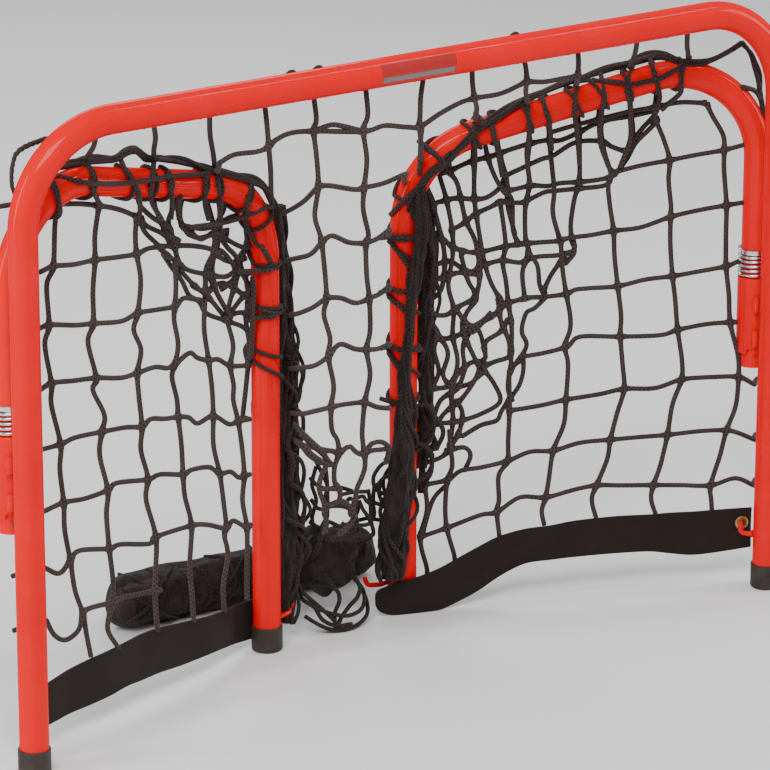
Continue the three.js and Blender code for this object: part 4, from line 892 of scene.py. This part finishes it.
skin = Skin()
skin.tube(bent([at(-POST, 0, TUBE_END), at(-POST, 0, CROSSBAR), at(POST, 0, CROSSBAR), at(POST, 0, TUBE_END)],
               (FRAME_BEND, FRAME_BEND), 40), TUBE, 56, side=at(0, 1, 0))
for k in range(-5, 6):
    x = NET_HOOK_SPACING * k
    places = [at(x, 13, 611.5), at(x, 17, 607), at(x, 17, 598.8), at(x, 8.5, 598.8), at(x, 8.5, 601.5)]
    skin.tube(bent(places, (3, 3, 3), 8), NET_HOOK_WIRE, 14, side=at(1, 0, 0))
piece = skin.piece("front_frame", PAINT, 50)
declare(piece, "front_frame", "front_frame_tube")


def cap(name, body, node, x, y):
    profile = [(0.01, 0), (12.5, 0), (14.2, 0.25), (15.1, 0.9), (15.6, 2.2), (15.6, 24.6), (15.3, 25.6),
               (14.6, 26),
               (14.25, 25.8), (14.25, 22)]
    piece = Skin().lathe(profile, at(x, y, 0), sides=56).piece(name, RUBBER, 60)
    declare(piece, body, node)


for side in ("left", "right"):
    h = HAND[side]
    body = BODY[side]
    cap(f"{side}_post_cap", "front_frame", f"{side}_post_foot", -h * POST, 0)
    foot = on_wing(side, WING_LENGTH, 0, 0)
    cap(f"{side}_leg_cap", body, f"{side}_wing_foot", foot[0], foot[1])

    # Hook on the post, near the floor
    c = math.cos(math.pi / 4)
    reach = [(14.0, 56), (27.3, 56), (27.3, 68)]
    points = [at(-h * POST + h * r * c, r * c, z) for r, z in reach]
    skin = Skin().tube(bent(points, (5,), 10), WIRE_HOOK, 14, side=at(h * c, -c, 0))
    skin.lathe([(0.01, -1.2), (3.4, -1.2), (4.4, 0), (3.4, 1.2),
    (0.01, 1.4)], points[0] + [h * 0.8, 0.8, 0],
               axis=[h * c, c, 0], sides=16)
    declare(skin.piece(f"{side}_band_hook", PAINT, 60), "front_frame", f"{side}_post_hook")

    # Wing tube, pin and hook
    run = wing_run(side, STUB_BOTTOM, TUBE_END)
    skin = Skin().tube(run, TUBE, 56, side=on_wing(side, 0, 1, 0) - on_wing(side, 0, 0, 0))
    declare(skin.piece(f"{side}_wing", PAINT, 50), body, f"{side}_wing_tube")
    way = on_wing(side, math.cos(math.radians(50)), math.sin(math.radians(50)), 0) - on_wing(side, 0, 0, 0)
    profile = [(0.01, -16.8), (1.6, -16.7), (2.4, -16.0), (2.5, -15.2), (2.5, 15.2), (2.4, 16.0),
               (1.6, 16.7),
               (0.01, 16.8)]
    skin = Skin().lathe(profile, on_wing(side, 0, 0, 244.2), axis=way, sides=24)
    declare(skin.piece(f"{side}_pin", PIN, 60), body, f"{side}_lock_pin")
    points = [on_wing(side, 381.5, 0, 31), on_wing(side, 391, 0, 28), on_wing(side, 405, 0, 28.5),
              on_wing(side, 408, 0, 37)]
    skin = Skin().tube(bent(points, (6, 5), 8), WIRE_HOOK, 14, side=UP)
    declare(skin.piece(f"{side}_net_hook", PAINT, 60), body, f"{side}_leg_hook")

    # Sleeve: its lower rim has two slots right across it
    centre = at(-h * POST, HINGE, 0)
    marks = SLOT_ANGLES[side]
    edges = []
    for k in range(96):
        angle = 360 * k / 96
        edges.append((angle, any(abs((angle - m + 180) % 360 - 180) < SLOT_HALF for m in marks)))
    for m in marks:
        for e in (-SLOT_HALF, SLOT_HALF):
            edges += [((m + e) % 360 - 1e-3 * np.sign(e), True), ((m + e) % 360 + 1e-3 * np.sign(e), False)]
    edges.sort()
    a = np.radians([e[0] for e in edges])
    low = np.array([SLEEVE_LOW + (SLOT_DEPTH if e[1] else 0) for e in edges])
    spoke = np.stack([np.cos(a), np.sin(a), np.zeros(len(a))], 1)
    rings = []
    # A height of None is the slotted rim itself, and a small one is just above it
    section = [(14.5, SLEEVE_HIGH), (14.5, None), (14.8, None), (16.7, None), (17, 0.6), (17, 326.3),
               (16.4, SLEEVE_HIGH), (14.5, SLEEVE_HIGH)]
    for radius, height in section:
        z = low + (height or 0) if height is None or height < 1 else np.full(len(a), height)
        rings.append(centre + spoke * radius + np.stack([0 * z, 0 * z, z], 1))
    skin = Skin().rings(rings, caps=False)
    for z in (265, 301):
        for s in (-1, 1):
            t = np.linspace(-1, 1, 40)
            points = [at(-h * POST + s * 11.04, 14.6, z + 9 * q) for q in t]
            radius = 4.0 * np.sqrt(np.maximum(1 - t ** 6, 0.02)) * (0.95 + 0.06 * np.sin(26 * t))
            skin.tube(points, radius, 14)
    declare(skin.piece(f"{side}_sleeve", PAINT, 35), "front_frame", f"{side}_hinge_sleeve")

    # Spring with closed ends, and the ring that it bears on
    t = np.linspace(0, 1, SPRING_TURNS * 40 + 1)
    lift = np.interp(t * SPRING_TURNS, [0, 0.55, SPRING_TURNS - 0.55, SPRING_TURNS], [0, 0.06, 0.94, 1])
    turned = 2 * math.pi * SPRING_TURNS * t
    points = [centre + at(SPRING_RADIUS * math.cos(a), SPRING_RADIUS * math.sin(a), SPRING_LOW + rise)
              for a, rise in zip(turned, SPRING_RISE * lift)]
    spring = Skin().tube(points, SPRING_WIRE, 12).piece(f"{side}_coil_spring", SPRING)
    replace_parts(spring, f"{side}_spring")
    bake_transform(spring)
    profile = [(14.4, 352), (16.9, 352), (17.5, 352.6), (17.5, 356.4), (16.9, 357), (14.4, 357),
               (14.4, 352)]
    skin = Skin().lathe(profile, centre, sides=56)
    declare(skin.piece(f"{side}_seat_ring", SPRING, 40), SEAT[side], f"{side}_spring_seat")


# Straps over a wing's tube: how far their middle lies from the tube's, how near the tube a pixel still
# touches it, and where the net lies beside it
STRAP_REACH = 16.3
TUBE_NEAR = 26
STRAP_NET = -3
SIGHT_STEP = 2.0
SIGHT_SPAN = 500


def seen_on_tube(side, pixel):
    """Where the line of sight through a pixel meets a strap over the tube, or else the net beside it."""
    tube = np.array([on_wing(side, *p) for p in wing_flat(STUB_BOTTOM, TUBE_END, SIGHT_STEP)])
    middle = float(np.linalg.norm(tube.mean(axis=0) - EYE))
    steps = np.arange(middle - SIGHT_SPAN, middle + SIGHT_SPAN, SIGHT_STEP)
    places = EYE + steps[:, None] * unit(sight(pixel))
    gap = np.linalg.norm(places[:, None] - tube[None], axis=2).min(axis=1)
    if gap.min() >= TUBE_NEAR:
        s, z = seen_on_wing(side, pixel, STRAP_NET)
        return s, STRAP_NET, z
    first = np.argmax(gap <= STRAP_REACH) if gap.min() <= STRAP_REACH else gap.argmin()
    place = places[first] - on_wing(side, 0, 0, 0)
    return tuple(round(float(place @ way)) for way in wing_directions(side))


def strap_place(side, place):
    """A strap's place: two values are a pixel, three are (along the wing, back, height)."""
    return on_wing(side, *(place if len(place) == 3 else seen_on_tube(side, place)))


# Nets: cords that swell where they are knotted together
def sheet_bulge(s, z):
    return 2.6 * math.sin(s / 41 + 1) * math.cos(z / 57) + 1.2 * math.sin(s / 17 + z / 23)


def knots_between(first, second, reach=5.0):
    found = []
    for a in first:
        for b in second:
            if a is b:
                continue
            gap = np.linalg.norm(a[:, None] - b[None], axis=2)
            i, j = np.unravel_index(int(gap.argmin()), gap.shape)
            if gap[i, j] < reach:
                found.append((a[i] + b[j]) / 2)
    return np.array(found).reshape(-1, 3)


def knotted(skin, runs, knots, radius=CORD, swell=0.5, sides=8):
    for run in runs:
        r = np.full(len(run), radius)
        if len(knots):
            near = np.linalg.norm(run[:, None] - knots[None], axis=2).min(axis=1)
            r = radius * (1 + swell * np.exp(-(near / 4.5) ** 2))
        skin.tube(run, r, sides)
    return skin


def wing_cords(side, lists, depth=0.0, spread=0.0):
    runs = []
    for k, cord in enumerate(lists):
        points = [on_wing(side, s, depth + sheet_bulge(s, z) + spread * math.sin(1.3 * i + 1.7 * k), z)
                  for i, (s, z) in enumerate(cord)]
        runs.append(smooth(points, 3.0))
    return runs


def graded(path, radii, step):
    """A smooth run, the length at each of its points, and the radius there, from radii spread evenly."""
    run = smooth(path, step)
    d = lengths(run)
    return run, d, np.interp(d, np.linspace(0, d[-1], len(radii)), radii)


def square_to(run, reference):
    """Two directions square to a run at each of its points, which don't twist along it."""
    way = np.gradient(run, axis=0)
    way /= np.linalg.norm(way, axis=1, keepdims=True)
    a = unit(np.cross(way[0], reference))
    pairs = []
    for w in way:
        a = unit(a - w * (a @ w))
        pairs.append((a, np.cross(w, a)))
    return pairs


def bunch(path, count, radii, seed, twist=0.02, lumps=0.0):
    """Cords gathered along a path, each wandering round it; the radii are spread evenly along it."""
    rng = np.random.default_rng(seed)
    p, d, radius = graded(path, radii, 5.0)
    frames = square_to(p, [0.3, 0.9, 0.2])
    runs = []
    for _ in range(count):
        phase, turn = rng.uniform(0, 2 * math.pi), rng.choice([-1, 1]) * twist * rng.uniform(0.5, 1.6)
        wave = rng.uniform(0, 2 * math.pi, 3)
        reach = (radius - 1.5) * math.sqrt(rng.uniform(0.15, 1.0))
        angle = phase + turn * d + 0.7 * np.sin(d / 31 + wave[0])
        r = reach * (1 + 0.35 * np.sin(d / 23 + wave[1])) * (1 + lumps * np.sin(d / 11 + wave[2]))
        runs.append(np.array([q + x * (math.cos(t) * f[0] + math.sin(t) * f[1])
                              for q, f, t, x in zip(p, frames, angle, r)]))
    return runs


def lacing(side, stations):
    """One cord round the wing's tube: across its front from the inner to the outer place, then behind it."""
    run = wing_run(side, STUB_BOTTOM, LACING_END)
    flat = wing_flat(STUB_BOTTOM, LACING_END)
    d = lengths(flat)
    places = []
    for inner, outer in stations:
        places += [float(d[np.linalg.norm(flat[:, [0, 2]] - p, axis=1).argmin()]) for p in (inner, outer)]
    back = unit(on_wing(side, 0, 1, 0) - on_wing(side, 0, 0, 0))
    points = []
    for k in range(len(places) - 1):
        first, last = k == 0, k == len(places) - 2
        share = np.linspace(-0.5 if first else 0, 1.4 if last else 1, 16, endpoint=False)
        where = places[k] + (places[k + 1] - places[k]) * share
        here, way = along(run, where)
        for q, w, u in zip(here, way, share):
            first_side = unit(np.cross(back, w))
            angle = math.pi * ((k % 2) + u)
            points.append(q + (TUBE + LACING_LIFT) * (math.cos(angle) * first_side - math.sin(angle) * back))
    # The last stretch runs straight down behind the leg
    here, way = along(run, np.arange(places[-1] + 20, lengths(run)[-1], 20.0))
    points += list(here + (TUBE + LACING_LIFT) * back)
    return np.array(points)


def snapped(loose, others, reach=15.0):
    """Each cord's ends are tied to the nearest other cord."""
    tied = []
    for k, run in enumerate(loose):
        rest = np.vstack([r for i, r in enumerate(loose) if i != k] + others)
        for end in (0, -1):
            gap = np.linalg.norm(rest - run[end], axis=1)
            best = rest[gap.argmin()]
            if 1.5 < gap.min() < reach:
                tail = run[end] + (best - run[end]) * np.linspace(0.25, 1, 5)[:, None]
                run = np.vstack([tail[::-1], run]) if end == 0 else np.vstack([run, tail])
        tied.append(run)
    return tied


NETS = {
    "left": (LEFT_COLUMNS, LEFT_ROWS, LEFT_TANGLE),
    "right": (RIGHT_COLUMNS, RIGHT_ROWS, RIGHT_TANGLE),
}
# How far behind the wing's plane its slack net was seen
SLACK_DEPTH = {"left": 9, "right": 10}
for side, (columns, rows, tangle) in NETS.items():
    body = BODY[side]
    columns = seen_cords(side, columns)
    rows = seen_cords(side, rows)
    tangle = seen_cords(side, tangle, SLACK_DEPTH[side])
    down_cords = wing_cords(side, columns)
    across_cords = wing_cords(side, rows)
    # Each row's front end passes behind the wing's stub
    reach = 4 if side == "left" else -13
    ends = []
    for cord in rows:
        s, z = cord[0]
        if side == "right" and s > 40:
            continue
        back = 17 if z > STUB_BOTTOM or side == "right" else 5
        tail = [on_wing(side, reach, back, z), on_wing(side, (reach + s) / 2, back * 0.7, z - 1),
                on_wing(side, s, sheet_bulge(s, z), z)]
        ends.append(smooth(tail, 3.0))
    straps = [smooth([strap_place(side, p) for p in cord], 3.0) for cord in STRAPS[side]]
    knots = knots_between(down_cords + straps, across_cords)
    skin = knotted(Skin(), down_cords + across_cords + ends + straps, knots)
    declare(skin.piece(f"{side}_wing_net", NET), body, f"{side}_side_net")
    loose = snapped(wing_cords(side, tangle, 7.0, 3.0), down_cords + across_cords + straps)
    knots = knots_between(loose, loose, 4.0)
    skin = knotted(Skin(), loose, knots, swell=0.45)
    declare(skin.piece(f"{side}_gathered_roof_net", NET), body, f"{side}_slack_net")
    skin = Skin().tube(smooth(lacing(side, STATIONS[side]), 2.5), 2.0, 8)
    declare(skin.piece(f"{side}_lacing_cord", ROPE), body, f"{side}_net_lacing")

# The gathered edge of the net along the wings, with how thick it is at each place
for side in ("left", "right"):
    skin = Skin()
    for k, (path, radii, count) in enumerate(EDGES[side]):
        seed = 7 * k + (5 if side == "left" else 8)
        for run in bunch([on_wing(side, *p) for p in path], count, radii, seed, 0.035, 0.3):
            skin.tube(run, 2.1, 8)
    declare(skin.piece(f"{side}_gathered_edge", ROPE), BODY[side], f"{side}_wing_rope")


def folds(name, side, path, radii, count, seed, node, loops=()):
    """Net that hangs gathered beside a rear leg: a core of folds with cords over it."""
    skin = Skin()
    p, d, radius = graded([on_wing(side, *q) for q in path], radii, 4.0)
    angle = 2 * math.pi * np.arange(48) / 48
    rings = []
    for q, (a, b), r, x in zip(p, square_to(p, [0.3, 0.9, 0.2]), radius, d):
        crease = (1 + 0.16 * np.sin(5 * angle + x / 26 + seed) + 0.1 * np.sin(9 * angle - x / 17)
                  + 0.07 * np.sin(3 * angle + x / 9))
        around = np.cos(angle)[:, None] * a + np.sin(angle)[:, None] * b
        rings.append(q + (CORE_SHARE * r * crease)[:, None] * around)
    skin.rings(rings, uv_scale=0.001)
    skin.then(GATHERED)
    for run in bunch([on_wing(side, *q) for q in path], count, radii, seed, 0.022, 0.3):
        skin.tube(run, 2.0, 7)
    for cord in loops:
        skin.tube(smooth([on_wing(side, *q) for q in cord], 3.0), 2.2, 8)
    declare(skin.piece(name, FOLDED), BODY[side], node)


folds("left_hanging_folds", "left", LEFT_FOLD, LEFT_FOLD_RADII, 20, 21, "left_net_bunch", LEFT_LOOPS)
folds("right_leg_folds", "right", RIGHT_FOLD, RIGHT_FOLD_RADII, 18, 33, "right_net_bunch", RIGHT_LOOPS)
folds("right_hanging_folds", "right", RIGHT_BUNCH, RIGHT_BUNCH_RADII, 22, 37, "right_net_bunch")

# Net under the crossbar and between the rear legs
ROPE_ROUTE = [(-426, 20, 544), (-434, 20, 563), (-433, 20, 583), (-426, 20, 595), (-403, 20, 601),
              (-383, 18, 602),
              (-340, 14, 603), (-200, 13.2, 603), (0, 13.2, 603), (200, 13.2, 603), (330, 13.2, 603),
              (358, 14.5, 600)]
ROPE_STRANDS = 3
ROPE_PITCH = 16
STRAND_OFFSET = 1.45
STRAND = 1.55
# Loops that tie the rope up to the crossbar: where they are, and the shape of one
LOOP_PLACES = (-138, -108, 118)
LOOP = [(-17, 16, 606), (-9, 15, 620), (0, 12.5, 628), (9, 15, 620), (17, 16, 606)]
rope = smooth([at(*p) for p in ROPE_ROUTE], 4.0)
skin = Skin()
for k in range(ROPE_STRANDS):
    d = lengths(rope)
    twist = 2 * math.pi * (d / ROPE_PITCH + k / ROPE_STRANDS)
    offset = np.stack([0 * d, STRAND_OFFSET * np.cos(twist), STRAND_OFFSET * np.sin(twist)], 1)
    skin.tube(rope + offset, STRAND, 8)
for middle in LOOP_PLACES:
    skin.tube(smooth([at(middle + x, y, z) for x, y, z in LOOP], 2.5), 1.8, 8)
declare(skin.piece("crossbar_line", ROPE), "front_frame", "crossbar_rope")

hanging = [smooth([net_place(p) for p in cord], 3.0) for cord in HANGING_COLUMNS]
hanging_rows = [smooth([net_place(p) for p in cord], 3.0) for cord in HANGING_ROWS]
edge_row = smooth([net_place(p) for p in EDGE_ROW], 3.0)
drops = [smooth([net_place(p) for p in cord], 3.0) for cord in DROPS]
knots = knots_between(hanging + drops, hanging_rows + [edge_row])
skin = knotted(Skin(), [edge_row] + drops, knots)
declare(skin.piece("crossbar_meshes", NET), "front_frame", "crossbar_net")
skin = knotted(Skin(), hanging + hanging_rows, knots)
for cord in THICK:
    line = smooth([net_place(p) for p in cord], 3.0)
    skin.tube(line, np.interp(np.linspace(0, 1, len(line)), (0, 0.35, 0.7, 1), (2.2, 3.8, 3.6, 2.2)), 8)
declare(skin.piece("hanging_meshes", NET), "front_frame", "hanging_net")


def tie(name, side, start, end, sag, seed, through_gap):
    """A net cord from the standing frame to a wing, through the gap between the folded wings if asked."""
    a, b = at(*start), on_wing(side, *end)
    rng = np.random.default_rng(seed + 100)
    drift = rng.uniform(-2, 2, 3)
    points = [a, a + (b - a) * 0.35 + drift - UP * sag * 0.8, a + (b - a) * 0.7 - UP * sag * 0.7, b]
    if through_gap:
        corner = b - SIGHT * ((b[1] - at(0, GAP_PLANE, 0)[1]) / SIGHT[1])
        points = [a, (a + corner) / 2 - UP * sag * 0.5, corner, corner + (b - corner) * 0.25, b]
    piece = Skin().tube(smooth(points, 3.0), CORD, 8).piece(name, NET)
    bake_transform(piece)


# How deep a cord runs that has to stay before the folded wings
GAP_PLANE = 12
# Cords from the standing frame to a wing, each from a place on the frame to a place on the wing
ROOF = {
    "left": [((-349, 13, 602), (113, 2, 561)), ((-289, 13, 602), (209, 2, 541)), ((-228, 13, 602),
    (292, -2, 514)),
             ((-220, 9, 554), (290, -4, 512)), ((-166, 9, 560), (366, -11, 463)), ((-111, 9, 514),
              (377, -16, 452)),
             ((-108, 9, 458), (396, 0, 396)), ((-102, 9, 403), (402, 0, 339)), ((-100, 9, 344),
              (404, 0, 284)),
             ((-97, 9, 293), (405, 0, 238)), ((-89, 9, 246), (408, 0, 210))],
    "right": [((4, 9, 554), (354, -14, 476)), ((68, 9, 572), (297, -8, 511)), ((130, 9, 579),
    (244, -6, 525)),
              ((191, 9, 576), (190, 4, 540)), ((266, 13, 602), (136, 3, 552)), ((328, 13, 602),
               (76, 0, 558)),
              ((-59, 9, 504), (368, 0, 450)), ((-57, 9, 449), (383, 0, 396)), ((-53, 9, 394),
               (383, 0, 340)),
              ((-56, 9, 343), (383, 0, 282)), ((-58, 9, 291), (383, 0, 217)), ((-30, 9, 238),
               (388, -8, 165))],
}
for side, cords in ROOF.items():
    for k, (start, end) in enumerate(cords):
        tie(f"{side}_roof_cord_{k + 1}", side, start, end, 4.0, k, side == "right" and k >= 6)


# Skirt bands
def band_line(side, table):
    """The band's lower and upper edges along the wing, as smooth runs of the same length."""
    low = smooth([on_wing(side, s, o, z) for s, o, z, _ in table], 4.0)
    high = smooth([on_wing(side, s, o, z) for s, o, _, z in table], 4.0)
    return [along(edge, np.linspace(0, lengths(edge)[-1], BAND_STEPS))[0] for edge in (low, high)]


BAND_TABLES = {
    "left": [(8, 0, 23, 64), (47, 2, 23, 65), (78, 5, 23, 67), (105, 4, 23, 69), (132, 1, 25, 71),
    (156, 1, 27, 72),
             (182, 3, 25, 72), (208, 4, 24, 70), (240, 3, 22, 66), (278, 4, 20, 60), (305, 8, 17, 56),
             (335, 15, 12, 52), (355, 17, 9, 50), (372, 17, 8, 49)],
    "right": [(-4, 0, 33, 76), (30, -1, 31, 77), (60, -3, 31, 78), (85, -3, 35, 79), (107, -3, 39, 79),
              (144, -2, 40, 80), (187, -2, 40, 79), (213, -4, 40, 77), (237, -4, 39, 76), (254, -3, 33, 73),
              (271, -4, 25, 69), (290, -7, 15, 62), (310, -10, 7, 54), (331, -14, 1, 46),
              (345, -16, 0.6, 42),
              (361, -17, 0.5, 38), (380, -17, 0.5, 34), (392, -17, 3, 31), (399, -17, 8, 28),
              (401, -17, 14, 24)],
}
for side, table in BAND_TABLES.items():
    low, high = band_line(side, table)
    n = np.gradient((low + high) / 2, axis=0)
    n = np.cross(n, UP)
    n /= np.linalg.norm(n, axis=1, keepdims=True)
    rings = []
    for i in range(BAND_STEPS):
        front, back = [], []
        for k in range(BAND_ROWS + 1):
            t = k / BAND_ROWS
            q = low[i] + (high[i] - low[i]) * t
            hem = HEM if t < HEM_SHARE or t > 1 - HEM_SHARE else 0.0
            q = q + n[i] * (0.9 * math.sin(i * 0.21 + 2.2 * t) * math.sin(math.pi * t))
            front.append(q + n[i] * (BAND_HALF + hem))
            back.append(q - n[i] * (BAND_HALF + hem))
        rings.append(front + back[::-1])
    skin = Skin().rings(rings, uv_scale=0.001)
    declare(skin.piece(f"{side}_floor_band", BAND, 60), BODY[side], f"{side}_skirt_band")
    s, z = (18, 44) if side == "left" else (7, 61)
    face = unit(on_wing(side, 0, 1, 0) - on_wing(side, 0, 0, 0))
    profile = [(3.6, -2.6), (6.4, -2.6), (7.0, -2.2), (7.0, -1.7), (4.8, -1.6), (4.8, 1.6), (7.0, 1.7),
               (7.0, 2.2),
               (6.4, 2.6), (4.2, 2.9), (3.6, 2.4), (3.6, -2.6)]
    skin = Skin().lathe(profile, on_wing(side, s, 0, z), axis=face, sides=32)
    declare(skin.piece(f"{side}_eyelet_ring", BRASS, 50), BODY[side], f"{side}_band_eyelet")


# Net gathered on the floor behind the rear legs
ROLL_Y = 268
ROLL_RADIUS = 28


def roll_point(x, angle):
    """A point of the folded roll's skin; the same rule serves both of its pieces, so they meet."""
    facets = 1 + 0.07 * math.cos(3 * angle - 0.5 + x / 90) + 0.045 * math.sin(5 * angle + x / 37)
    creases = 0.03 * math.sin(9 * angle - x / 23) + 0.02 * math.sin(x / 9 + 2 * angle)
    r = ROLL_RADIUS * (facets + creases) * 0.96
    return at(x, ROLL_Y + r * math.cos(angle), max(FLOOR_GAP, ROLL_RADIUS + r * math.sin(angle)))


def roll(name, body, start, end, round_start, round_end, cords, node):
    skin = Skin()
    rings = []
    steps = int((end - start) / 2.5)
    centre = at(0, ROLL_Y, ROLL_RADIUS)
    for i in range(steps + 1):
        x = start + (end - start) * i / steps
        near = 1.0
        if round_start:
            near = min(near, (x - start + 1.5) / 26)
        if round_end:
            near = min(near, (end - x + 1.5) / 26)
        shrink = math.sqrt(max(0.04, 1 - (1 - min(near, 1)) ** 2))
        ring = []
        for angle in 2 * math.pi * np.arange(72) / 72:
            q = roll_point(x, angle)
            flat = centre + (q - at(x, *centre[1:])) * shrink
            ring.append(at(x, flat[1], max(FLOOR_GAP, flat[2] - (1 - shrink) * 9)))
        rings.append(ring)
    skin.rings(rings, uv_scale=0.001)
    skin.then(GATHERED)
    for cord in cords:
        run = smooth([roll_point(x, a) for x, a in cord], 3.0)
        out = run - np.stack([run[:, 0], np.full(len(run), ROLL_Y), np.full(len(run), ROLL_RADIUS)], 1)
        run = run + out / np.maximum(np.linalg.norm(out, axis=1, keepdims=True), 1e-6) * 0.9
        run[:, 2] = np.maximum(run[:, 2], 2.4)
        skin.tube(run, 1.9, 8)
    declare(skin.piece(name, FOLDED), body, node)


LEFT_ROLL_CORDS = [[(-186, 2.2), (-165, 2.9), (-140, 3.6), (-120, 4.2)], [(-184, 3.6), (-160, 3.0),
                    (-135, 2.2), (-118, 1.6)],
                   [(-170, 1.0), (-160, 2.0), (-158, 3.0), (-166, 4.0)], [(-140, 1.2), (-136, 2.4),
                    (-140, 3.8)]]
MIDDLE_ROLL_CORDS = [[(-108, 4.3), (-90, 3.6), (-66, 2.9), (-40, 2.1), (-20, 1.4)], [(-108, 1.5),
                      (-92, 2.3), (-88, 3.2), (-95, 4.2)],
                     [(-70, 1.1), (-60, 2.0), (-58, 3.0), (-66, 4.2)], [(-50, 4.3), (-30, 3.5), (-4, 2.8),
                      (20, 2.0), (44, 1.3)],
                     [(-20, 1.2), (-8, 2.2), (-6, 3.3), (-16, 4.3)], [(24, 4.2), (46, 3.4), (70, 2.6),
                      (98, 1.8), (116, 1.2)],
                     [(60, 1.2), (66, 2.4), (60, 3.6)], [(96, 1.3), (104, 2.6), (98, 4.0)]]
roll("left_floor_roll", "left_wing", -190, -113.7, True, False, LEFT_ROLL_CORDS, "left_back_roll")
roll("middle_floor_roll", "front_frame", -112.6, 126, False, True, MIDDLE_ROLL_CORDS, "middle_back_roll")

# The net's tail: it comes back from the hanging meshes between the wings and lies folded before the roll


def lump(skin, places, radii, flat, seed):
    """A lumpy body along a run, kept above the floor."""
    p, d, radius = graded([at(*q) for q in places], radii, 2.5)
    angle = 2 * math.pi * np.arange(60) / 60
    rings = []
    for q, (a, b), r, x in zip(p, square_to(p, [0.2, 1.0, 0.1]), radius, d):
        shape = (1 + 0.1 * np.sin(3 * angle + x / 18 + seed) + 0.08 * np.sin(5 * angle - x / 13)
                 + 0.04 * np.sin(11 * angle + x / 8))
        ring = q + (r * shape)[:, None] * (np.cos(angle)[:, None] * a + flat * np.sin(angle)[:, None] * b)
        ring[:, 2] = np.maximum(ring[:, 2], FLOOR_GAP)
        rings.append(ring)
    skin.rings(rings, uv_scale=0.001)


skin = Skin()
lump(skin, [(-20, 188, 44), (-8, 190, 52), (10, 192, 56), (32, 199, 56),
(52, 210, 54)], (12, 21, 35, 28, 17), 1.0, 2)
lump(skin, [(4, 188, 48), (0, 184, 72), (-4, 180, 88)], (20, 15, 8), 0.8, 5)
skin.then(GATHERED)
for cord in TAIL_CORDS:
    skin.tube(smooth([at(*p) for p in cord], 3.0), 2.2, 8)
declare(skin.piece("trailing_folds", FOLDED), "front_frame", "trailing_net")

# Label: a bare film round the front of the crossbar, with a grey strip
FILM = film_look("label_film", (0.42, 0.03, 0.025), 0.55)
STRIP = film_look("label_strip", (0.2, 0.16, 0.15), 0.9)


def patch(name, low, high, start, end, radius, look):
    rings = []
    for x in np.linspace(start, end, FILM_SIDES):
        rings.append([at(x, -radius * math.cos(t), CROSSBAR + radius * math.sin(t))
                      for t in np.radians(np.linspace(low, high, FILM_SIDES))])
    skin = Skin().rings(rings, closed=False, caps=False, uv_scale=0.001)
    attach(skin.piece(name, look), "front_frame")


patch("label_film", -38, 48, -54, 31, 14.12, FILM)
patch("label_strip", -30, -8, -52, 29, 14.2, STRIP)

# Floor and lights
floor_look = material("studio_floor", (0.86, 0.86, 0.85), 0.6)
bpy.ops.mesh.primitive_plane_add(size=14, location=(0, 0, 0))
floor = bpy.context.object
floor.name = "floor"
floor.data.materials.append(floor_look)

world = bpy.data.worlds.new("studio")
world.use_nodes = True
world.node_tree.nodes["Background"].inputs[0].default_value = (0.93, 0.95, 1.0, 1)
world.node_tree.nodes["Background"].inputs[1].default_value = 0.45
bpy.context.scene.world = world


def lamp(name, place, target, size, power):
    data = bpy.data.lights.new(name, "AREA")
    data.shape = "RECTANGLE"
    data.size, data.size_y = size
    data.energy = power
    obj = bpy.data.objects.new(name, data)
    bpy.context.scene.collection.objects.link(obj)
    obj.location = place
    obj.rotation_euler = (Vector(target) - Vector(place)).to_track_quat("-Z", "Y").to_euler()


lamp("key_light", (-1.6, -1.6, 2.6), (0, 0, 0.3), (1.6, 1.2), 84)
lamp("side_light", (2.4, -1.2, 1.2), (0, 0, 0.35), (0.7, 1.8), 30)
lamp("left_strip", (-2.6, 0.3, 1.0), (0, 0, 0.35), (0.6, 1.8), 26)
lamp("back_light", (0.8, 2.4, 2.0), (0, 0, 0.4), (1.8, 1.0), 30)
lamp("top_strip", (1.1, -0.45, 2.3), (1.1, 0.2, 0), (1.6, 0.04), 11)
